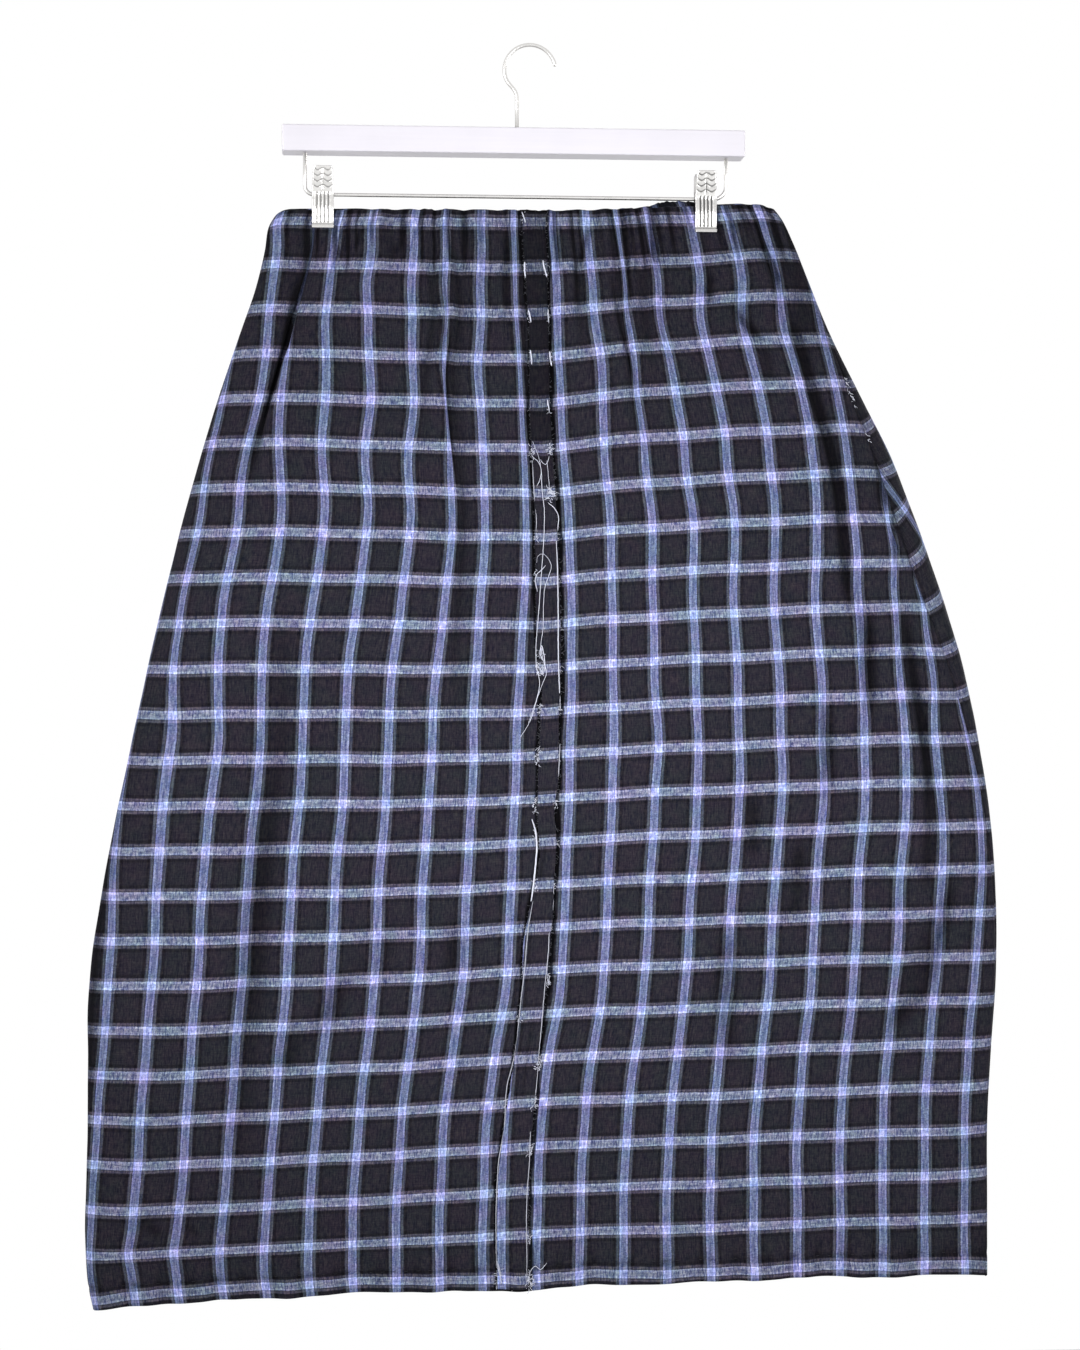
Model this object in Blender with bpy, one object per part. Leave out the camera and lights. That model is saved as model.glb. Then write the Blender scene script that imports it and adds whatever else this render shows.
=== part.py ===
"""Midi skirt of checked cloth, hung by two spring clips from a white bar hanger.

The skirt is a wide barrel-shaped tube with an elastic waist. Its front is two panels that meet on the
centre line under a raw-edged strip, and its back is one panel. Each piece of cloth is a thin closed wall.

Frame: metres, +Z up, the front faces -Y. The origin is the inner top of the hanger's hook, where the
skirt hangs. All sizes below are in millimetres, and become metres when a mesh is made.

How the cloth is placed: a point of a panel has two cloth coordinates. Its drop is measured down the cloth
from the waist edge. Its across is measured along the cloth from the centre line, negative to the left.
At each drop the skirt has a closed section, a flat tube with round ends, and a point finds its place along
that section from its across, less what the folds between it and the centre line take up.
"""

import collections
import functools
import math

import bpy
import numpy as np

MM = 0.001
GAP = 0.3

# The skirt
SEAM_GAP = 0.5
WAIST_Z = -133.0
SKIRT_LENGTH = 856.0
CLOTH_THICK = 1.5
CASING_DEPTH = 32.0
CASING_THICK = 3.0
HEM_DEPTH = 17.0
HEM_THICK = 2.4
THICKNESS_RUN = 5.0
WAIST_RISE_RUN = 110.0
HEM_RISE_FROM = 790.0
HEM_CORNER_SAG = 4.5
BACK_LIFT = 2.5
BACK_LIFT_RUN = 25.0
BACK_LIFT_DEPTH = 6.0
CORNER_DROP = 5.0
CORNER_RUN = 7.0
CORNER_DEPTH = 14.0
STRIP_THICK = 1.2
STRIP_LIFT = 0.6
STRIP_END = 1.5
SEAM_REACH = 70.0
TANGENT_STEP = 1.0
CHORD_STEP = 1.5

# Folds
FOLD_SPREAD = 0.35
FOLD_EASE = 0.45
SEAM_CALM = 14.0
CASING_CALM = 0.45
CASING_CALM_TO = 12.0
CASING_CALM_RUN = 40.0

# The hanger
HOOK_WIRE = 3.0
HOOK_RADIUS = 20.5
HOOK_STEM_X = -10.5
HOOK_TIP_ANGLE = 14.0
HOOK_THROAT_ANGLE = 194.0
HOOK_THROAT_PULL = 8.0
HOOK_NECK_Z = -42.0
HOOK_NECK_PULL = 9.0
BAR_LEFT = -197.5
BAR_RIGHT = 172.0
BAR_TOP = -66.5
BAR_HEIGHT = 21.0
BAR_DEPTH = 24.0
BAR_BEVEL = 1.2
RAIL_WIRE = 3.0
RAIL_LEFT = -179.4
RAIL_RIGHT = 158.0
RAIL_Z = -120.3
RAIL_BEND_LEFT = 7.0
RAIL_BEND_RIGHT = 11.0
CLIP_LEFT = -165.2
CLIP_RIGHT = 141.2
CLIP_WIDTH = 17.4
CLIP_TOP_WIDTH = 16.0
CLIP_TOP = -99.0
CLIP_PLATE = 1.0
CLIP_HALF_GRIP = 4.2
PLATE_CLEAR = 0.45
SPRING_RADIUS = 3.6
SPRING_LENGTH = 13.0
SPRING_SIDES = 12
WIRE_SIDES = 8
PINCH_FLAT = 11.0
PINCH_RUN = 24.0
PINCH_DEPTH = 16.0
PINCH_FADE = 55.0

# The skirt's sections. drop: distance down the cloth. left_x, centre_x, right_x: the left side fold, the
# centre line and the right side fold. front, back: how far the cloth stands before and behind the middle
# plane. end_run: how far in from a side fold the section is still rounding.
SECTION_COLUMNS = ("drop", "left_x", "centre_x", "right_x", "front", "back", "end_run")
SECTIONS = (
    (0, -204, 2, 199, 9, 9, 14),
    (10, -208, 2, 204, 10, 10, 15),
    (30, -211, 3, 212, 11, 12, 18),
    (60, -218, 4, 223, 15, 18, 25),
    (100, -232, 5, 239, 22, 26, 36),
    (150, -249, 6, 264, 30, 34, 50),
    (200, -264, 8, 290, 36, 41, 61),
    (250, -278, 10, 311, 40, 45, 71),
    (300, -290, 11, 329, 41, 47, 82),
    (350, -302, 11, 345, 40, 46, 91),
    (400, -313, 11, 357, 38, 44, 100),
    (450, -324, 10, 367, 35, 41, 108),
    (500, -334, 8, 374, 32, 38, 115),
    (560, -344, 4, 378, 30, 35, 122),
    (620, -350, -2, 378, 28, 32, 128),
    (680, -351, -9, 374, 26, 30, 133),
    (740, -352, -14, 371, 24, 28, 137),
    (800, -353, -16, 371, 23, 27, 140),
    (840, -350, -16, 371, 22, 26, 140),
    (856, -346, -16, 371, 22, 26, 140),
)

# How the cloth lies on those sections. left_edge, right_edge: the cloth's across at the two side folds.
# left_seam, right_seam: how far round to the front of its side fold each side seam lies, negative behind.
# left_rise, centre_rise, right_rise: how much higher than its drop the cloth hangs there.
CLOTH_COLUMNS = (
    "drop", "left_edge", "right_edge", "left_seam", "right_seam", "left_rise", "centre_rise", "right_rise",
)
CLOTH = (
    (0, 278, 253, 0, -12, -1, 0, 7.5),
    (60, 289, 264, 4, -2, -1, -3, 12),
    (120, 309, 288, 0, 15, -3, -6, 12),
    (200, 326, 325, -8, 28, -4, -8, 10),
    (300, 348, 366, -15, 31, -5, -7, 8),
    (400, 358, 392, -22, 20, -7, -5, 8),
    (500, 357, 396, -30, 12, -9, -3, 8),
    (600, 361, 398, -35, 5, -10, 0, 8),
    (740, 356, 397, -42, 4, -12, -1, 8),
    (856, 345, 395, -46, 4, -14, 0, 7),
)

# Folds. top, low: the across at which a fold starts and ends. start, end: the drops where it shows.
# width: the cloth it bends. height: how far it stands out, negative for a trough. lean: 0 for an even
# ridge, 1 or -1 for a pleat's step that falls to the right or to the left. take: the cloth it takes up.
FRONT_FOLD_ROWS = (
    (-14, -14, 0, 430, 22, -3.0, 0, 9),
    (-42, -40, 0, 130, 24, 3.0, 0, 9),
    (-86, -80, 0, 480, 26, 4.0, 1, 8),
    (-110, -112, 0, 210, 28, -3.5, 0, 10),
    (-147, -146, 0, 60, 24, -2.5, 0, 2),
    (-182, -184, 0, 90, 26, 3.5, 0, 9),
    (-226, -262, 0, 240, 32, -6.5, 0.3, 22),
    (-218, -276, 300, 800, 62, -4.0, 0, 0),
    (-118, -204, 560, 690, 44, -2.5, 0, 0),
    (-64, -60, 540, 640, 30, -2.0, 0, 0),
    (-316, -322, 230, 420, 34, 0.8, 0, 14),
    (12, 12, 0, 260, 20, -2.5, 0, 5),
    (42, 44, 0, 130, 24, -3.5, 0, 8),
    (80, 90, 0, 220, 28, -3.5, 0, 12),
    (114, 118, 0, 160, 26, 4.0, -1, 9),
    (172, 168, 0, 100, 24, -2.5, 0, 4),
    (190, 208, 60, 130, 26, -2.5, 0, 2),
    (214, 232, 0, 110, 28, -5.5, -0.3, 10),
    (236, 262, 80, 320, 30, -4.5, 0, 7),
    (272, 274, 290, 430, 30, -3.0, 0, 3),
    (306, 344, 300, 560, 40, -4.0, 0, 12),
    (344, 296, 540, 680, 44, -3.5, 0, 0),
    (234, 236, 370, 480, 30, -2.5, 0, 0),
    (172, 174, 450, 530, 28, -2.0, 0, 0),
    (216, 206, 490, 570, 30, -2.5, 0, 0),
    (156, 158, 560, 670, 34, -2.5, 0, 0),
)
BACK_FOLD_ROWS = (
    (-226, -236, 0, 190, 28, -3.5, 0, 9),
    (-188, -190, 0, 120, 26, 3.0, 0, 8),
    (-150, -158, 0, 260, 28, -4.0, -0.4, 10),
    (-108, -104, 0, 110, 26, 3.0, 0, 8),
    (-66, -70, 0, 170, 28, -3.5, 0, 9),
    (-24, -18, 0, 140, 26, 3.5, 0, 8),
    (16, 22, 0, 330, 30, -4.5, 0.5, 10),
    (62, 60, 0, 120, 26, 3.0, 0, 8),
    (104, 110, 0, 180, 28, -3.5, 0, 9),
    (146, 144, 0, 110, 26, 3.0, 0, 8),
    (188, 204, 0, 290, 30, -5.0, 0, 10),
    (230, 238, 0, 130, 26, -3.0, 0, 8),
    (-140, -196, 280, 620, 56, -4.0, 0, 0),
    (70, 34, 330, 700, 60, -3.5, 0, 0),
    (206, 262, 300, 660, 54, -4.5, 0, 0),
    (-40, -92, 540, 760, 50, -3.0, 0, 0),
    (150, 176, 600, 800, 46, -2.5, 0, 0),
)

Fold = collections.namedtuple("Fold", ("top", "low", "start", "end", "width", "height", "lean", "take"))
FRONT_FOLDS = tuple(Fold(*row) for row in FRONT_FOLD_ROWS)
BACK_FOLDS = tuple(Fold(*row) for row in BACK_FOLD_ROWS)

# The back panel's half width along the cloth, at each drop.
BACK_HALF_COLUMNS = ("drop", "half")
BACK_HALF = (
    (0, 268),
    (60, 276),
    (120, 292),
    (200, 312),
    (300, 332),
    (400, 344),
    (500, 350),
    (600, 354),
    (740, 354),
    (856, 352),
)

# The centre strip's own width, at each drop.
STRIP_WIDTH_COLUMNS = ("drop", "width")
STRIP_WIDTH = (
    (0, 20.0),
    (150, 18.4),
    (260, 17.2),
    (540, 17.0),
    (640, 18.0),
    (700, 20.6),
    (760, 24.6),
    (856, 25.2),
)

# The drops of the cloth's rows of points, closer at the casing and at the hem
CASING_ROWS = (0, 14, 30, 36, 58, 84)
BODY_ROWS = (114, 150, 190, 232, 276, 322, 370, 420, 472, 526, 582, 640, 700, 764)
HEM_ROWS = (812, 838, 844, 856)
ROW_DROPS = CASING_ROWS + BODY_ROWS + HEM_ROWS
FRONT_POINTS = 34
BACK_POINTS = 56
FRONT_CROWDING = 0.28
BACK_CROWDING = 0.5
STRIP_POINTS = 5

# A clip's plate in side view, from its top handle down to its lip. out: the distance of its inner face
# from the middle plane. z: its height.
PLATE_PROFILE = (
    (9.2, CLIP_TOP),
    (7.4, -107.0),
    (4.6, -116.5),
    (SPRING_RADIUS + PLATE_CLEAR, RAIL_Z),
    (4.7, -125.5),
    (5.3, -131.0),
    (CLIP_HALF_GRIP + PLATE_CLEAR, -138.5),
    (CLIP_HALF_GRIP + PLATE_CLEAR, -145.0),
    (5.8, -147.3),
)

# Colours and finishes, linear RGB, roughness, metallic
CLOTH_FINISH = ((0.045, 0.050, 0.075), 0.85, 0.0)
STRIP_FINISH = ((0.030, 0.030, 0.038), 0.9, 0.0)
PAINT_FINISH = ((0.86, 0.84, 0.90), 0.35, 0.0)
STEEL_FINISH = ((0.80, 0.78, 0.76), 0.18, 1.0)


# Reading the tables
def column(table, columns, name, drop):
    """A column of a table at any drop: a smooth cubic through its rows, with their neighbours' slopes."""
    rows = np.array(table, float)
    x, y = rows[:, 0], rows[:, columns.index(name)]
    slope = np.gradient(y, x)
    at = np.clip(np.asarray(drop, float), x[0], x[-1])
    i = np.clip(np.searchsorted(x, at, side="right") - 1, 0, len(x) - 2)
    run = x[i + 1] - x[i]
    t = (at - x[i]) / run
    start = (1 + 2 * t) * (1 - t) ** 2 * y[i] + t * (1 - t) ** 2 * run * slope[i]
    end = t * t * (3 - 2 * t) * y[i + 1] + t * t * (t - 1) * run * slope[i + 1]
    return start + end


def section(name, drop):
    return column(SECTIONS, SECTION_COLUMNS, name, drop)


def cloth(name, drop):
    return column(CLOTH, CLOTH_COLUMNS, name, drop)


def back_half_cloth(drop):
    return column(BACK_HALF, BACK_HALF_COLUMNS, "half", drop)


def ease(t):
    """From 0 to 1 as t does, level at both ends."""
    t = np.clip(t, 0, 1)
    return t * t * (3 - 2 * t)


# The folds' shape
def fold_strength(fold, drop):
    """1 while a fold shows, easing to 0 towards its start and its end. One at the waist starts full."""
    run = FOLD_EASE * (fold.end - fold.start)
    opening = 1.0 if fold.start <= 0 else ease((drop - fold.start) / run)
    return opening * ease((fold.end - drop) / run)


def fold_path(fold, drop):
    """The across of a fold's middle."""
    return fold.top + (fold.low - fold.top) * np.clip((drop - fold.start) / (fold.end - fold.start), 0, 1)


def fold_height(folds, across, drop):
    """The sum of the folds: each an even ridge with shallow shoulders, or a step, about its path."""
    total = np.zeros(np.shape(across))
    for fold in folds:
        t = (across - fold_path(fold, drop)) / (FOLD_SPREAD * fold.width)
        even = (1 - 1.5 * t * t) * np.exp(-t * t)
        step = -2.3 * t * np.exp(-t * t)
        shape = (1 - abs(fold.lean)) * even + fold.lean * step
        total = total + fold.height * fold_strength(fold, drop) * shape
    return total


def cloth_left(folds, across, drop, side):
    """How much of the cloth between the centre line and a point is left once the folds took up theirs."""
    total = across * side
    for fold in folds:
        if fold.top * side < 0:
            continue
        spread = FOLD_SPREAD * fold.width
        path = fold_path(fold, drop) * side
        taken = (np.tanh((across * side - path) / spread) + np.tanh(path / spread)) / 2
        total = total - fold.take * fold_strength(fold, drop) * taken
    return total


# Sections
class Section:
    """The closed section at one drop. It runs from the left fold along the front to the right fold, and
    back along the rear: quarter ellipses at the four ends, straight between them."""

    ARC = 40
    FLAT = 60

    def __init__(self, drop):
        left, right = section("left_x", drop), section("right_x", drop)
        front, back, run = section("front", drop), section("back", drop), section("end_run", drop)
        angle = np.linspace(0, math.pi / 2, self.ARC)
        rise_x, rise_y = run * (1 - np.cos(angle)), np.sin(angle)
        flat = np.linspace(left + run, right - run, self.FLAT)[1:-1]
        x = np.concatenate([left + rise_x, flat, (right - rise_x)[::-1]])
        depth = np.concatenate([rise_y, np.ones(len(flat)), rise_y[::-1]])
        self.front_count = len(x)
        self.x = np.concatenate([x, x[-2::-1]])
        self.y = np.concatenate([-front * depth, back * depth[-2::-1]])
        self.x, self.y = self.x[:-1], self.y[:-1]
        pinch = pinch_weight(self.x, drop)
        grip = np.sign(self.y) * np.minimum(np.abs(self.y), CLIP_HALF_GRIP)
        self.y = self.y * (1 - pinch) + grip * pinch
        x, y = np.append(self.x, self.x[0]), np.append(self.y, self.y[0])
        self.along = np.concatenate([[0], np.cumsum(np.hypot(np.diff(x), np.diff(y)))])
        self.length = self.along[-1]
        self.front_length = self.along[self.front_count - 1]
        front_x, front_along = self.x[: self.front_count], self.along[: self.front_count]
        self.centre = float(np.interp(section("centre_x", drop), front_x, front_along))
        self.closed_x, self.closed_y = x, y

    def place(self, s):
        """The point at a distance along the section, which may run past either end."""
        s = np.mod(s, self.length)
        return np.interp(s, self.along, self.closed_x), np.interp(s, self.along, self.closed_y)

    def outward(self, s):
        """The unit normal of the section, from the chord across each point."""
        x0, y0 = self.place(s - CHORD_STEP)
        x1, y1 = self.place(s + CHORD_STEP)
        dx, dy = x1 - x0, y1 - y0
        size = np.hypot(dx, dy)
        return dy / size, -dx / size


def pinch_weight(x, drop):
    """1 under a clip's jaws, fading to the sides and downwards."""
    total = 0.0
    for clip in (CLIP_LEFT, CLIP_RIGHT):
        beside = np.maximum(0, np.abs(x - clip) - PINCH_FLAT) / PINCH_RUN
        below = max(0.0, drop - PINCH_DEPTH) / PINCH_FADE
        total = total + np.exp(-beside * beside - below * below)
    return np.minimum(total, 1)


def along_front(sec, across, drop):
    """Where a point of the front lies along its section. Past a side fold the cloth runs on unfolded."""
    left_edge, right_edge = cloth("left_edge", drop), cloth("right_edge", drop)
    left_scale = sec.centre / cloth_left(FRONT_FOLDS, -left_edge, drop, -1)
    right_scale = (sec.front_length - sec.centre) / cloth_left(FRONT_FOLDS, right_edge, drop, 1)
    left = sec.centre - left_scale * cloth_left(FRONT_FOLDS, np.maximum(across, -left_edge), drop, -1)
    right = sec.centre + right_scale * cloth_left(FRONT_FOLDS, np.minimum(across, right_edge), drop, 1)
    past = np.maximum(0, across - right_edge) - np.maximum(0, -left_edge - across)
    return np.where(across < 0, left, right) + past


def along_back(sec, across, drop):
    """The same for the back panel, whose across is positive to the wearer's right, at the skirt's left."""
    half = back_half_cloth(drop)
    start = sec.front_length - cloth("right_seam", drop)
    end = sec.length + cloth("left_seam", drop)
    whole = cloth_left(BACK_FOLDS, half, drop, 1) + cloth_left(BACK_FOLDS, -half, drop, -1)
    right = cloth_left(BACK_FOLDS, np.maximum(across, 0), drop, 1)
    left = cloth_left(BACK_FOLDS, np.minimum(across, 0), drop, -1)
    from_start = cloth_left(BACK_FOLDS, -half, drop, -1) + right - left
    return start + (end - start) * from_start / whole


def near_hem(drop):
    return ease((drop - HEM_RISE_FROM) / (SKIRT_LENGTH - HEM_RISE_FROM))


def rise_share(side, on_left, drop):
    """How much of a side fold's rise a point has, 0 at the centre line and 1 at the fold. It comes early
    down the skirt, evenly along the waist, and late at the hem's left corner."""
    early, late = 1 - (1 - side) ** 2, side**3
    near_waist = 1 - ease(drop / WAIST_RISE_RUN)
    return early + near_waist * (ease(side) - early) + np.where(on_left, near_hem(drop), 0) * (late - early)


def hang(x, y, drop):
    """The height of a point: its drop below the waist line, and the rise that its place gives it."""
    left, right, centre = section("left_x", drop), section("right_x", drop), section("centre_x", drop)
    on_left = x < centre
    side = np.where(on_left, (centre - x) / (centre - left), (x - centre) / (right - centre))
    side = np.clip(side, 0, 1)
    edge_rise = np.where(on_left, cloth("left_rise", drop), cloth("right_rise", drop))
    middle = cloth("centre_rise", drop)
    rise = middle + (edge_rise - middle) * rise_share(side, on_left, drop)
    rise = rise - np.where(on_left, 0, HEM_CORNER_SAG) * near_hem(drop) * side**10
    behind = ease(y / BACK_LIFT_DEPTH) * BACK_LIFT * math.exp(-drop / BACK_LIFT_RUN)
    inward = np.minimum(x - left, right - x)
    corner = CORNER_DROP * np.exp(-inward / CORNER_RUN) * math.exp(-drop / CORNER_DEPTH)
    return WAIST_Z - drop + rise + behind - corner


def wall_thickness(drop):
    """The cloth is doubled at the waist casing and at the turned-up hem."""
    casing = (CASING_THICK - CLOTH_THICK) * ease((CASING_DEPTH + THICKNESS_RUN - drop) / THICKNESS_RUN)
    hem = (HEM_THICK - CLOTH_THICK) * ease((drop - SKIRT_LENGTH + HEM_DEPTH) / THICKNESS_RUN)
    return CLOTH_THICK + casing + hem


def fold_calm(across, low, high, x, drop):
    """Folds die out at the side seams and under the clips, and are shallow in the stiffer casing."""
    at_seams = 1 - np.exp(-(((across - low) / SEAM_CALM) ** 2))
    at_seams = at_seams * (1 - np.exp(-(((high - across) / SEAM_CALM) ** 2)))
    in_casing = CASING_CALM + (1 - CASING_CALM) * ease((drop - CASING_CALM_TO) / CASING_CALM_RUN)
    return at_seams * (1 - pinch_weight(x, drop)) * in_casing


@functools.lru_cache(maxsize=None)
def section_at(drop):
    """The section at a drop, worked out once."""
    return Section(drop)


@functools.lru_cache(maxsize=None)
def front_span(drop):
    """The front's across at its left seam and at its right seam, read back from where they lie."""
    sec = section_at(drop)
    reach = max(cloth("left_edge", drop), cloth("right_edge", drop)) + SEAM_REACH
    across = np.arange(-reach, reach, TANGENT_STEP)
    s = along_front(sec, across, drop)
    seams = (cloth("left_seam", drop), sec.front_length - cloth("right_seam", drop))
    low, high = np.interp(seams, s, across)
    return low, high


def front_point_row(across, drop):
    """The places of the front's points at one drop, with its folds standing out square to the section."""
    sec = section_at(drop)
    s = along_front(sec, across, drop)
    x, y = sec.place(s)
    nx, ny = sec.outward(s)
    low, high = front_span(drop)
    out = fold_height(FRONT_FOLDS, across, drop) * fold_calm(across, low, high, x, drop)
    return np.stack([x + nx * out, y + ny * out, hang(x, y, drop)], -1)


def back_point_row(across, drop):
    """The same for the back panel."""
    sec = section_at(drop)
    s = along_back(sec, across, drop)
    x, y = sec.place(s)
    nx, ny = sec.outward(s)
    half = back_half_cloth(drop)
    out = fold_height(BACK_FOLDS, across, drop) * fold_calm(across, -half, half, x, drop)
    return np.stack([x + nx * out, y + ny * out, hang(x, y, drop)], -1)


# Meshes
def surface_normals(grid, across):
    """Unit normals of a grid of points whose rows run down as seen from outside, from its rows and from
    the direction of the cloth's across at each point."""
    down = np.gradient(grid, axis=0)
    normal = np.cross(down, across)
    return normal / np.linalg.norm(normal, axis=2, keepdims=True)


def closed_wall(outer, inner):
    """A closed wall between two grids: quads on both faces, joined along the four borders."""
    rows, cols = outer.shape[:2]
    points = np.concatenate([outer.reshape(-1, 3), inner.reshape(-1, 3)])
    index = np.arange(rows * cols).reshape(rows, cols)
    a, b, c, d = index[:-1, :-1], index[1:, :-1], index[1:, 1:], index[:-1, 1:]
    front = np.stack([a, b, c, d], -1).reshape(-1, 4)
    back = np.stack([a, d, c, b], -1).reshape(-1, 4) + rows * cols
    rim = np.concatenate([index[:-1, 0], index[-1, :-1], index[:0:-1, -1], index[0, :0:-1]])
    after = np.roll(rim, -1)
    border = np.stack([rim, rim + rows * cols, after + rows * cols, after], -1)
    return points, np.concatenate([front, back, border])


def finish_material(name, finish):
    """A plain finish: its base colour, roughness and metallic value."""
    colour, roughness, metallic = finish
    material = bpy.data.materials.new(name)
    material.use_nodes = True
    shader = material.node_tree.nodes["Principled BSDF"]
    shader.inputs["Base Color"].default_value = (*colour, 1)
    shader.inputs["Roughness"].default_value = roughness
    shader.inputs["Metallic"].default_value = metallic
    return material


def add_object(name, points, faces, finish, angle=40):
    """An object from points in millimetres, smooth but for edges sharper than the angle."""
    mesh = bpy.data.meshes.new(name)
    mesh.from_pydata((np.asarray(points) * MM).tolist(), [], [list(map(int, face)) for face in faces])
    mesh.update()
    mesh.shade_smooth()
    mesh.set_sharp_from_angle(angle=math.radians(angle))
    piece = bpy.data.objects.new(name, mesh)
    mesh.materials.append(finish_material(name, finish))
    bpy.context.scene.collection.objects.link(piece)
    return piece


def cloth_panel(name, point_row, across, finish):
    """A panel's wall. across holds the cloth coordinates of its points, a row for each drop."""
    outer = np.stack([point_row(row, drop) for row, drop in zip(across, ROW_DROPS)])
    ahead = np.stack([point_row(row + TANGENT_STEP, drop) for row, drop in zip(across, ROW_DROPS)])
    behind = np.stack([point_row(row - TANGENT_STEP, drop) for row, drop in zip(across, ROW_DROPS)])
    thickness = np.array([wall_thickness(drop) for drop in ROW_DROPS])
    inner = outer - surface_normals(outer, ahead - behind) * thickness[:, None, None]
    points, faces = closed_wall(outer, inner)
    return add_object(name, points, faces, finish)


# The cloth pieces
def front_columns(side, drop):
    """The across of a front panel's points from left to right, closer together by its side seam."""
    low, high = front_span(drop)
    ends = (low + SEAM_GAP / 2, -GAP / 2) if side < 0 else (GAP / 2, high - SEAM_GAP / 2)
    share = np.linspace(0, 1, FRONT_POINTS + 1)
    crowded = share + side * FRONT_CROWDING * share * (1 - share)
    return ends[0] + (ends[1] - ends[0]) * crowded


def front_panel(name, side):
    """The panel from the centre line to one side seam: side is -1 to the left and 1 to the right."""
    across = [front_columns(side, drop) for drop in ROW_DROPS]
    return cloth_panel(name, front_point_row, across, CLOTH_FINISH)


def back_panel():
    """The back in one piece, its points closer together towards both side seams."""
    halves = [back_half_cloth(drop) - SEAM_GAP / 2 for drop in ROW_DROPS]
    share = np.linspace(-1, 1, BACK_POINTS + 1)
    crowded = (1 - BACK_CROWDING) * share + BACK_CROWDING * np.sin(math.pi / 2 * share)
    across = [half * crowded for half in halves]
    return cloth_panel("back", back_point_row, across, CLOTH_FINISH)


def centre_strip():
    """The raw-edged strip over the centre seam. Each of its rows follows the chords between the front
    panels' own points, for half its width to each side of the seam, moved straight out."""
    inner = []
    for drop in (STRIP_END, *ROW_DROPS[1:-1], SKIRT_LENGTH - STRIP_END):
        columns = np.concatenate([front_columns(-1, drop), front_columns(1, drop)])
        panel = front_point_row(columns, drop)
        steps = np.linalg.norm(np.diff(panel[:, :2], axis=0), axis=1)
        distance = np.concatenate([[0], np.cumsum(steps)])
        seam = distance[FRONT_POINTS : FRONT_POINTS + 2].mean()
        half = column(STRIP_WIDTH, STRIP_WIDTH_COLUMNS, "width", drop) / 2
        at = seam + np.linspace(-half, half, STRIP_POINTS)
        inner.append(np.stack([np.interp(at, distance, panel[:, axis]) for axis in range(3)], -1))
    inner = np.stack(inner) + np.array([0, -STRIP_LIFT, 0])
    outer = inner + np.array([0, -STRIP_THICK, 0])
    points, faces = closed_wall(outer, inner)
    return add_object("centre_strip", points, faces, STRIP_FINISH)


# The hanger
def round_wire(name, path, diameter):
    """A round bar along a flat path in the XZ plane: a ring of points square to the path at each of its
    points, joined, with a fan at each end."""
    path = np.asarray(path, float)
    along = np.gradient(path, axis=0)
    along = along / np.linalg.norm(along, axis=1, keepdims=True)
    across = np.stack([along[:, 2], np.zeros(len(path)), -along[:, 0]], -1)
    angle = np.linspace(0, 2 * math.pi, WIRE_SIDES, endpoint=False)
    rings = (
        path[:, None, :]
        + np.cos(angle)[None, :, None] * across[:, None, :] * diameter / 2
        + np.sin(angle)[None, :, None] * np.array([0.0, 1.0, 0.0]) * diameter / 2
    )
    count = len(path)
    index = np.arange(count * WIRE_SIDES).reshape(count, WIRE_SIDES)
    turned = np.roll(index, -1, axis=1)
    quads = np.stack([index[:-1], index[1:], turned[1:], turned[:-1]], -1).reshape(-1, 4)
    faces = quads.tolist() + [index[0].tolist(), index[-1][::-1].tolist()]
    points = rings.reshape(-1, 3)
    return add_object(name, points, outward_faces(points, faces), STEEL_FINISH)


def outward_faces(points, faces):
    """The same faces, all turned round if the solid they enclose counts as negative."""
    volume = 0.0
    for face in faces:
        corner = points[face[0]]
        for second, third in zip(face[1:-1], face[2:]):
            volume += np.dot(corner, np.cross(points[second], points[third]))
    return faces if volume > 0 else [face[::-1] for face in faces]


def arc_points(centre_x, centre_z, radius, first, last, count):
    """Points of an arc in the XZ plane, between two angles in degrees."""
    angle = np.radians(np.linspace(first, last, count))
    x, z = centre_x + radius * np.cos(angle), centre_z + radius * np.sin(angle)
    return np.stack([x, np.zeros(count), z], -1)


def hook():
    """The loop is an arc about a point under the origin. It leans back in to the stem on a smooth S."""
    middle_z = HOOK_WIRE / 2 - HOOK_RADIUS
    loop = arc_points(0, middle_z, HOOK_RADIUS, HOOK_TIP_ANGLE, HOOK_THROAT_ANGLE, 19)
    t = np.linspace(0, 1, 9)[1:, None]
    start, end = loop[-1], np.array([HOOK_STEM_X, 0, HOOK_NECK_Z])
    turn = math.radians(HOOK_THROAT_ANGLE + 90)
    start_pull = start + HOOK_THROAT_PULL * np.array([math.cos(turn), 0, math.sin(turn)])
    end_pull = end + np.array([0, 0, HOOK_NECK_PULL])
    ends = (1 - t) ** 3 * start + t**3 * end
    neck = ends + 3 * (1 - t) * t * ((1 - t) * start_pull + t * end_pull)
    foot = np.array([[HOOK_STEM_X, 0, BAR_TOP + GAP]])
    return round_wire("hanger_hook", np.concatenate([loop, neck, foot]), HOOK_WIRE)


def bar():
    """A square-ended bar of wood, its edges taken off by a narrow bevel."""
    half_y, bottom = BAR_DEPTH / 2, BAR_TOP - BAR_HEIGHT
    corners = ((-half_y, bottom), (half_y, bottom), (half_y, BAR_TOP), (-half_y, BAR_TOP))
    points = [(x, y, z) for x in (BAR_LEFT, BAR_RIGHT) for y, z in corners]
    faces = [(0, 3, 2, 1), (4, 5, 6, 7), (0, 1, 5, 4), (1, 2, 6, 5), (2, 3, 7, 6), (3, 0, 4, 7)]
    piece = add_object("hanger_bar", points, faces, PAINT_FINISH)
    bevel = piece.modifiers.new("soft edges", "BEVEL")
    bevel.width = BAR_BEVEL * MM
    bevel.segments = 2
    return piece


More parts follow.
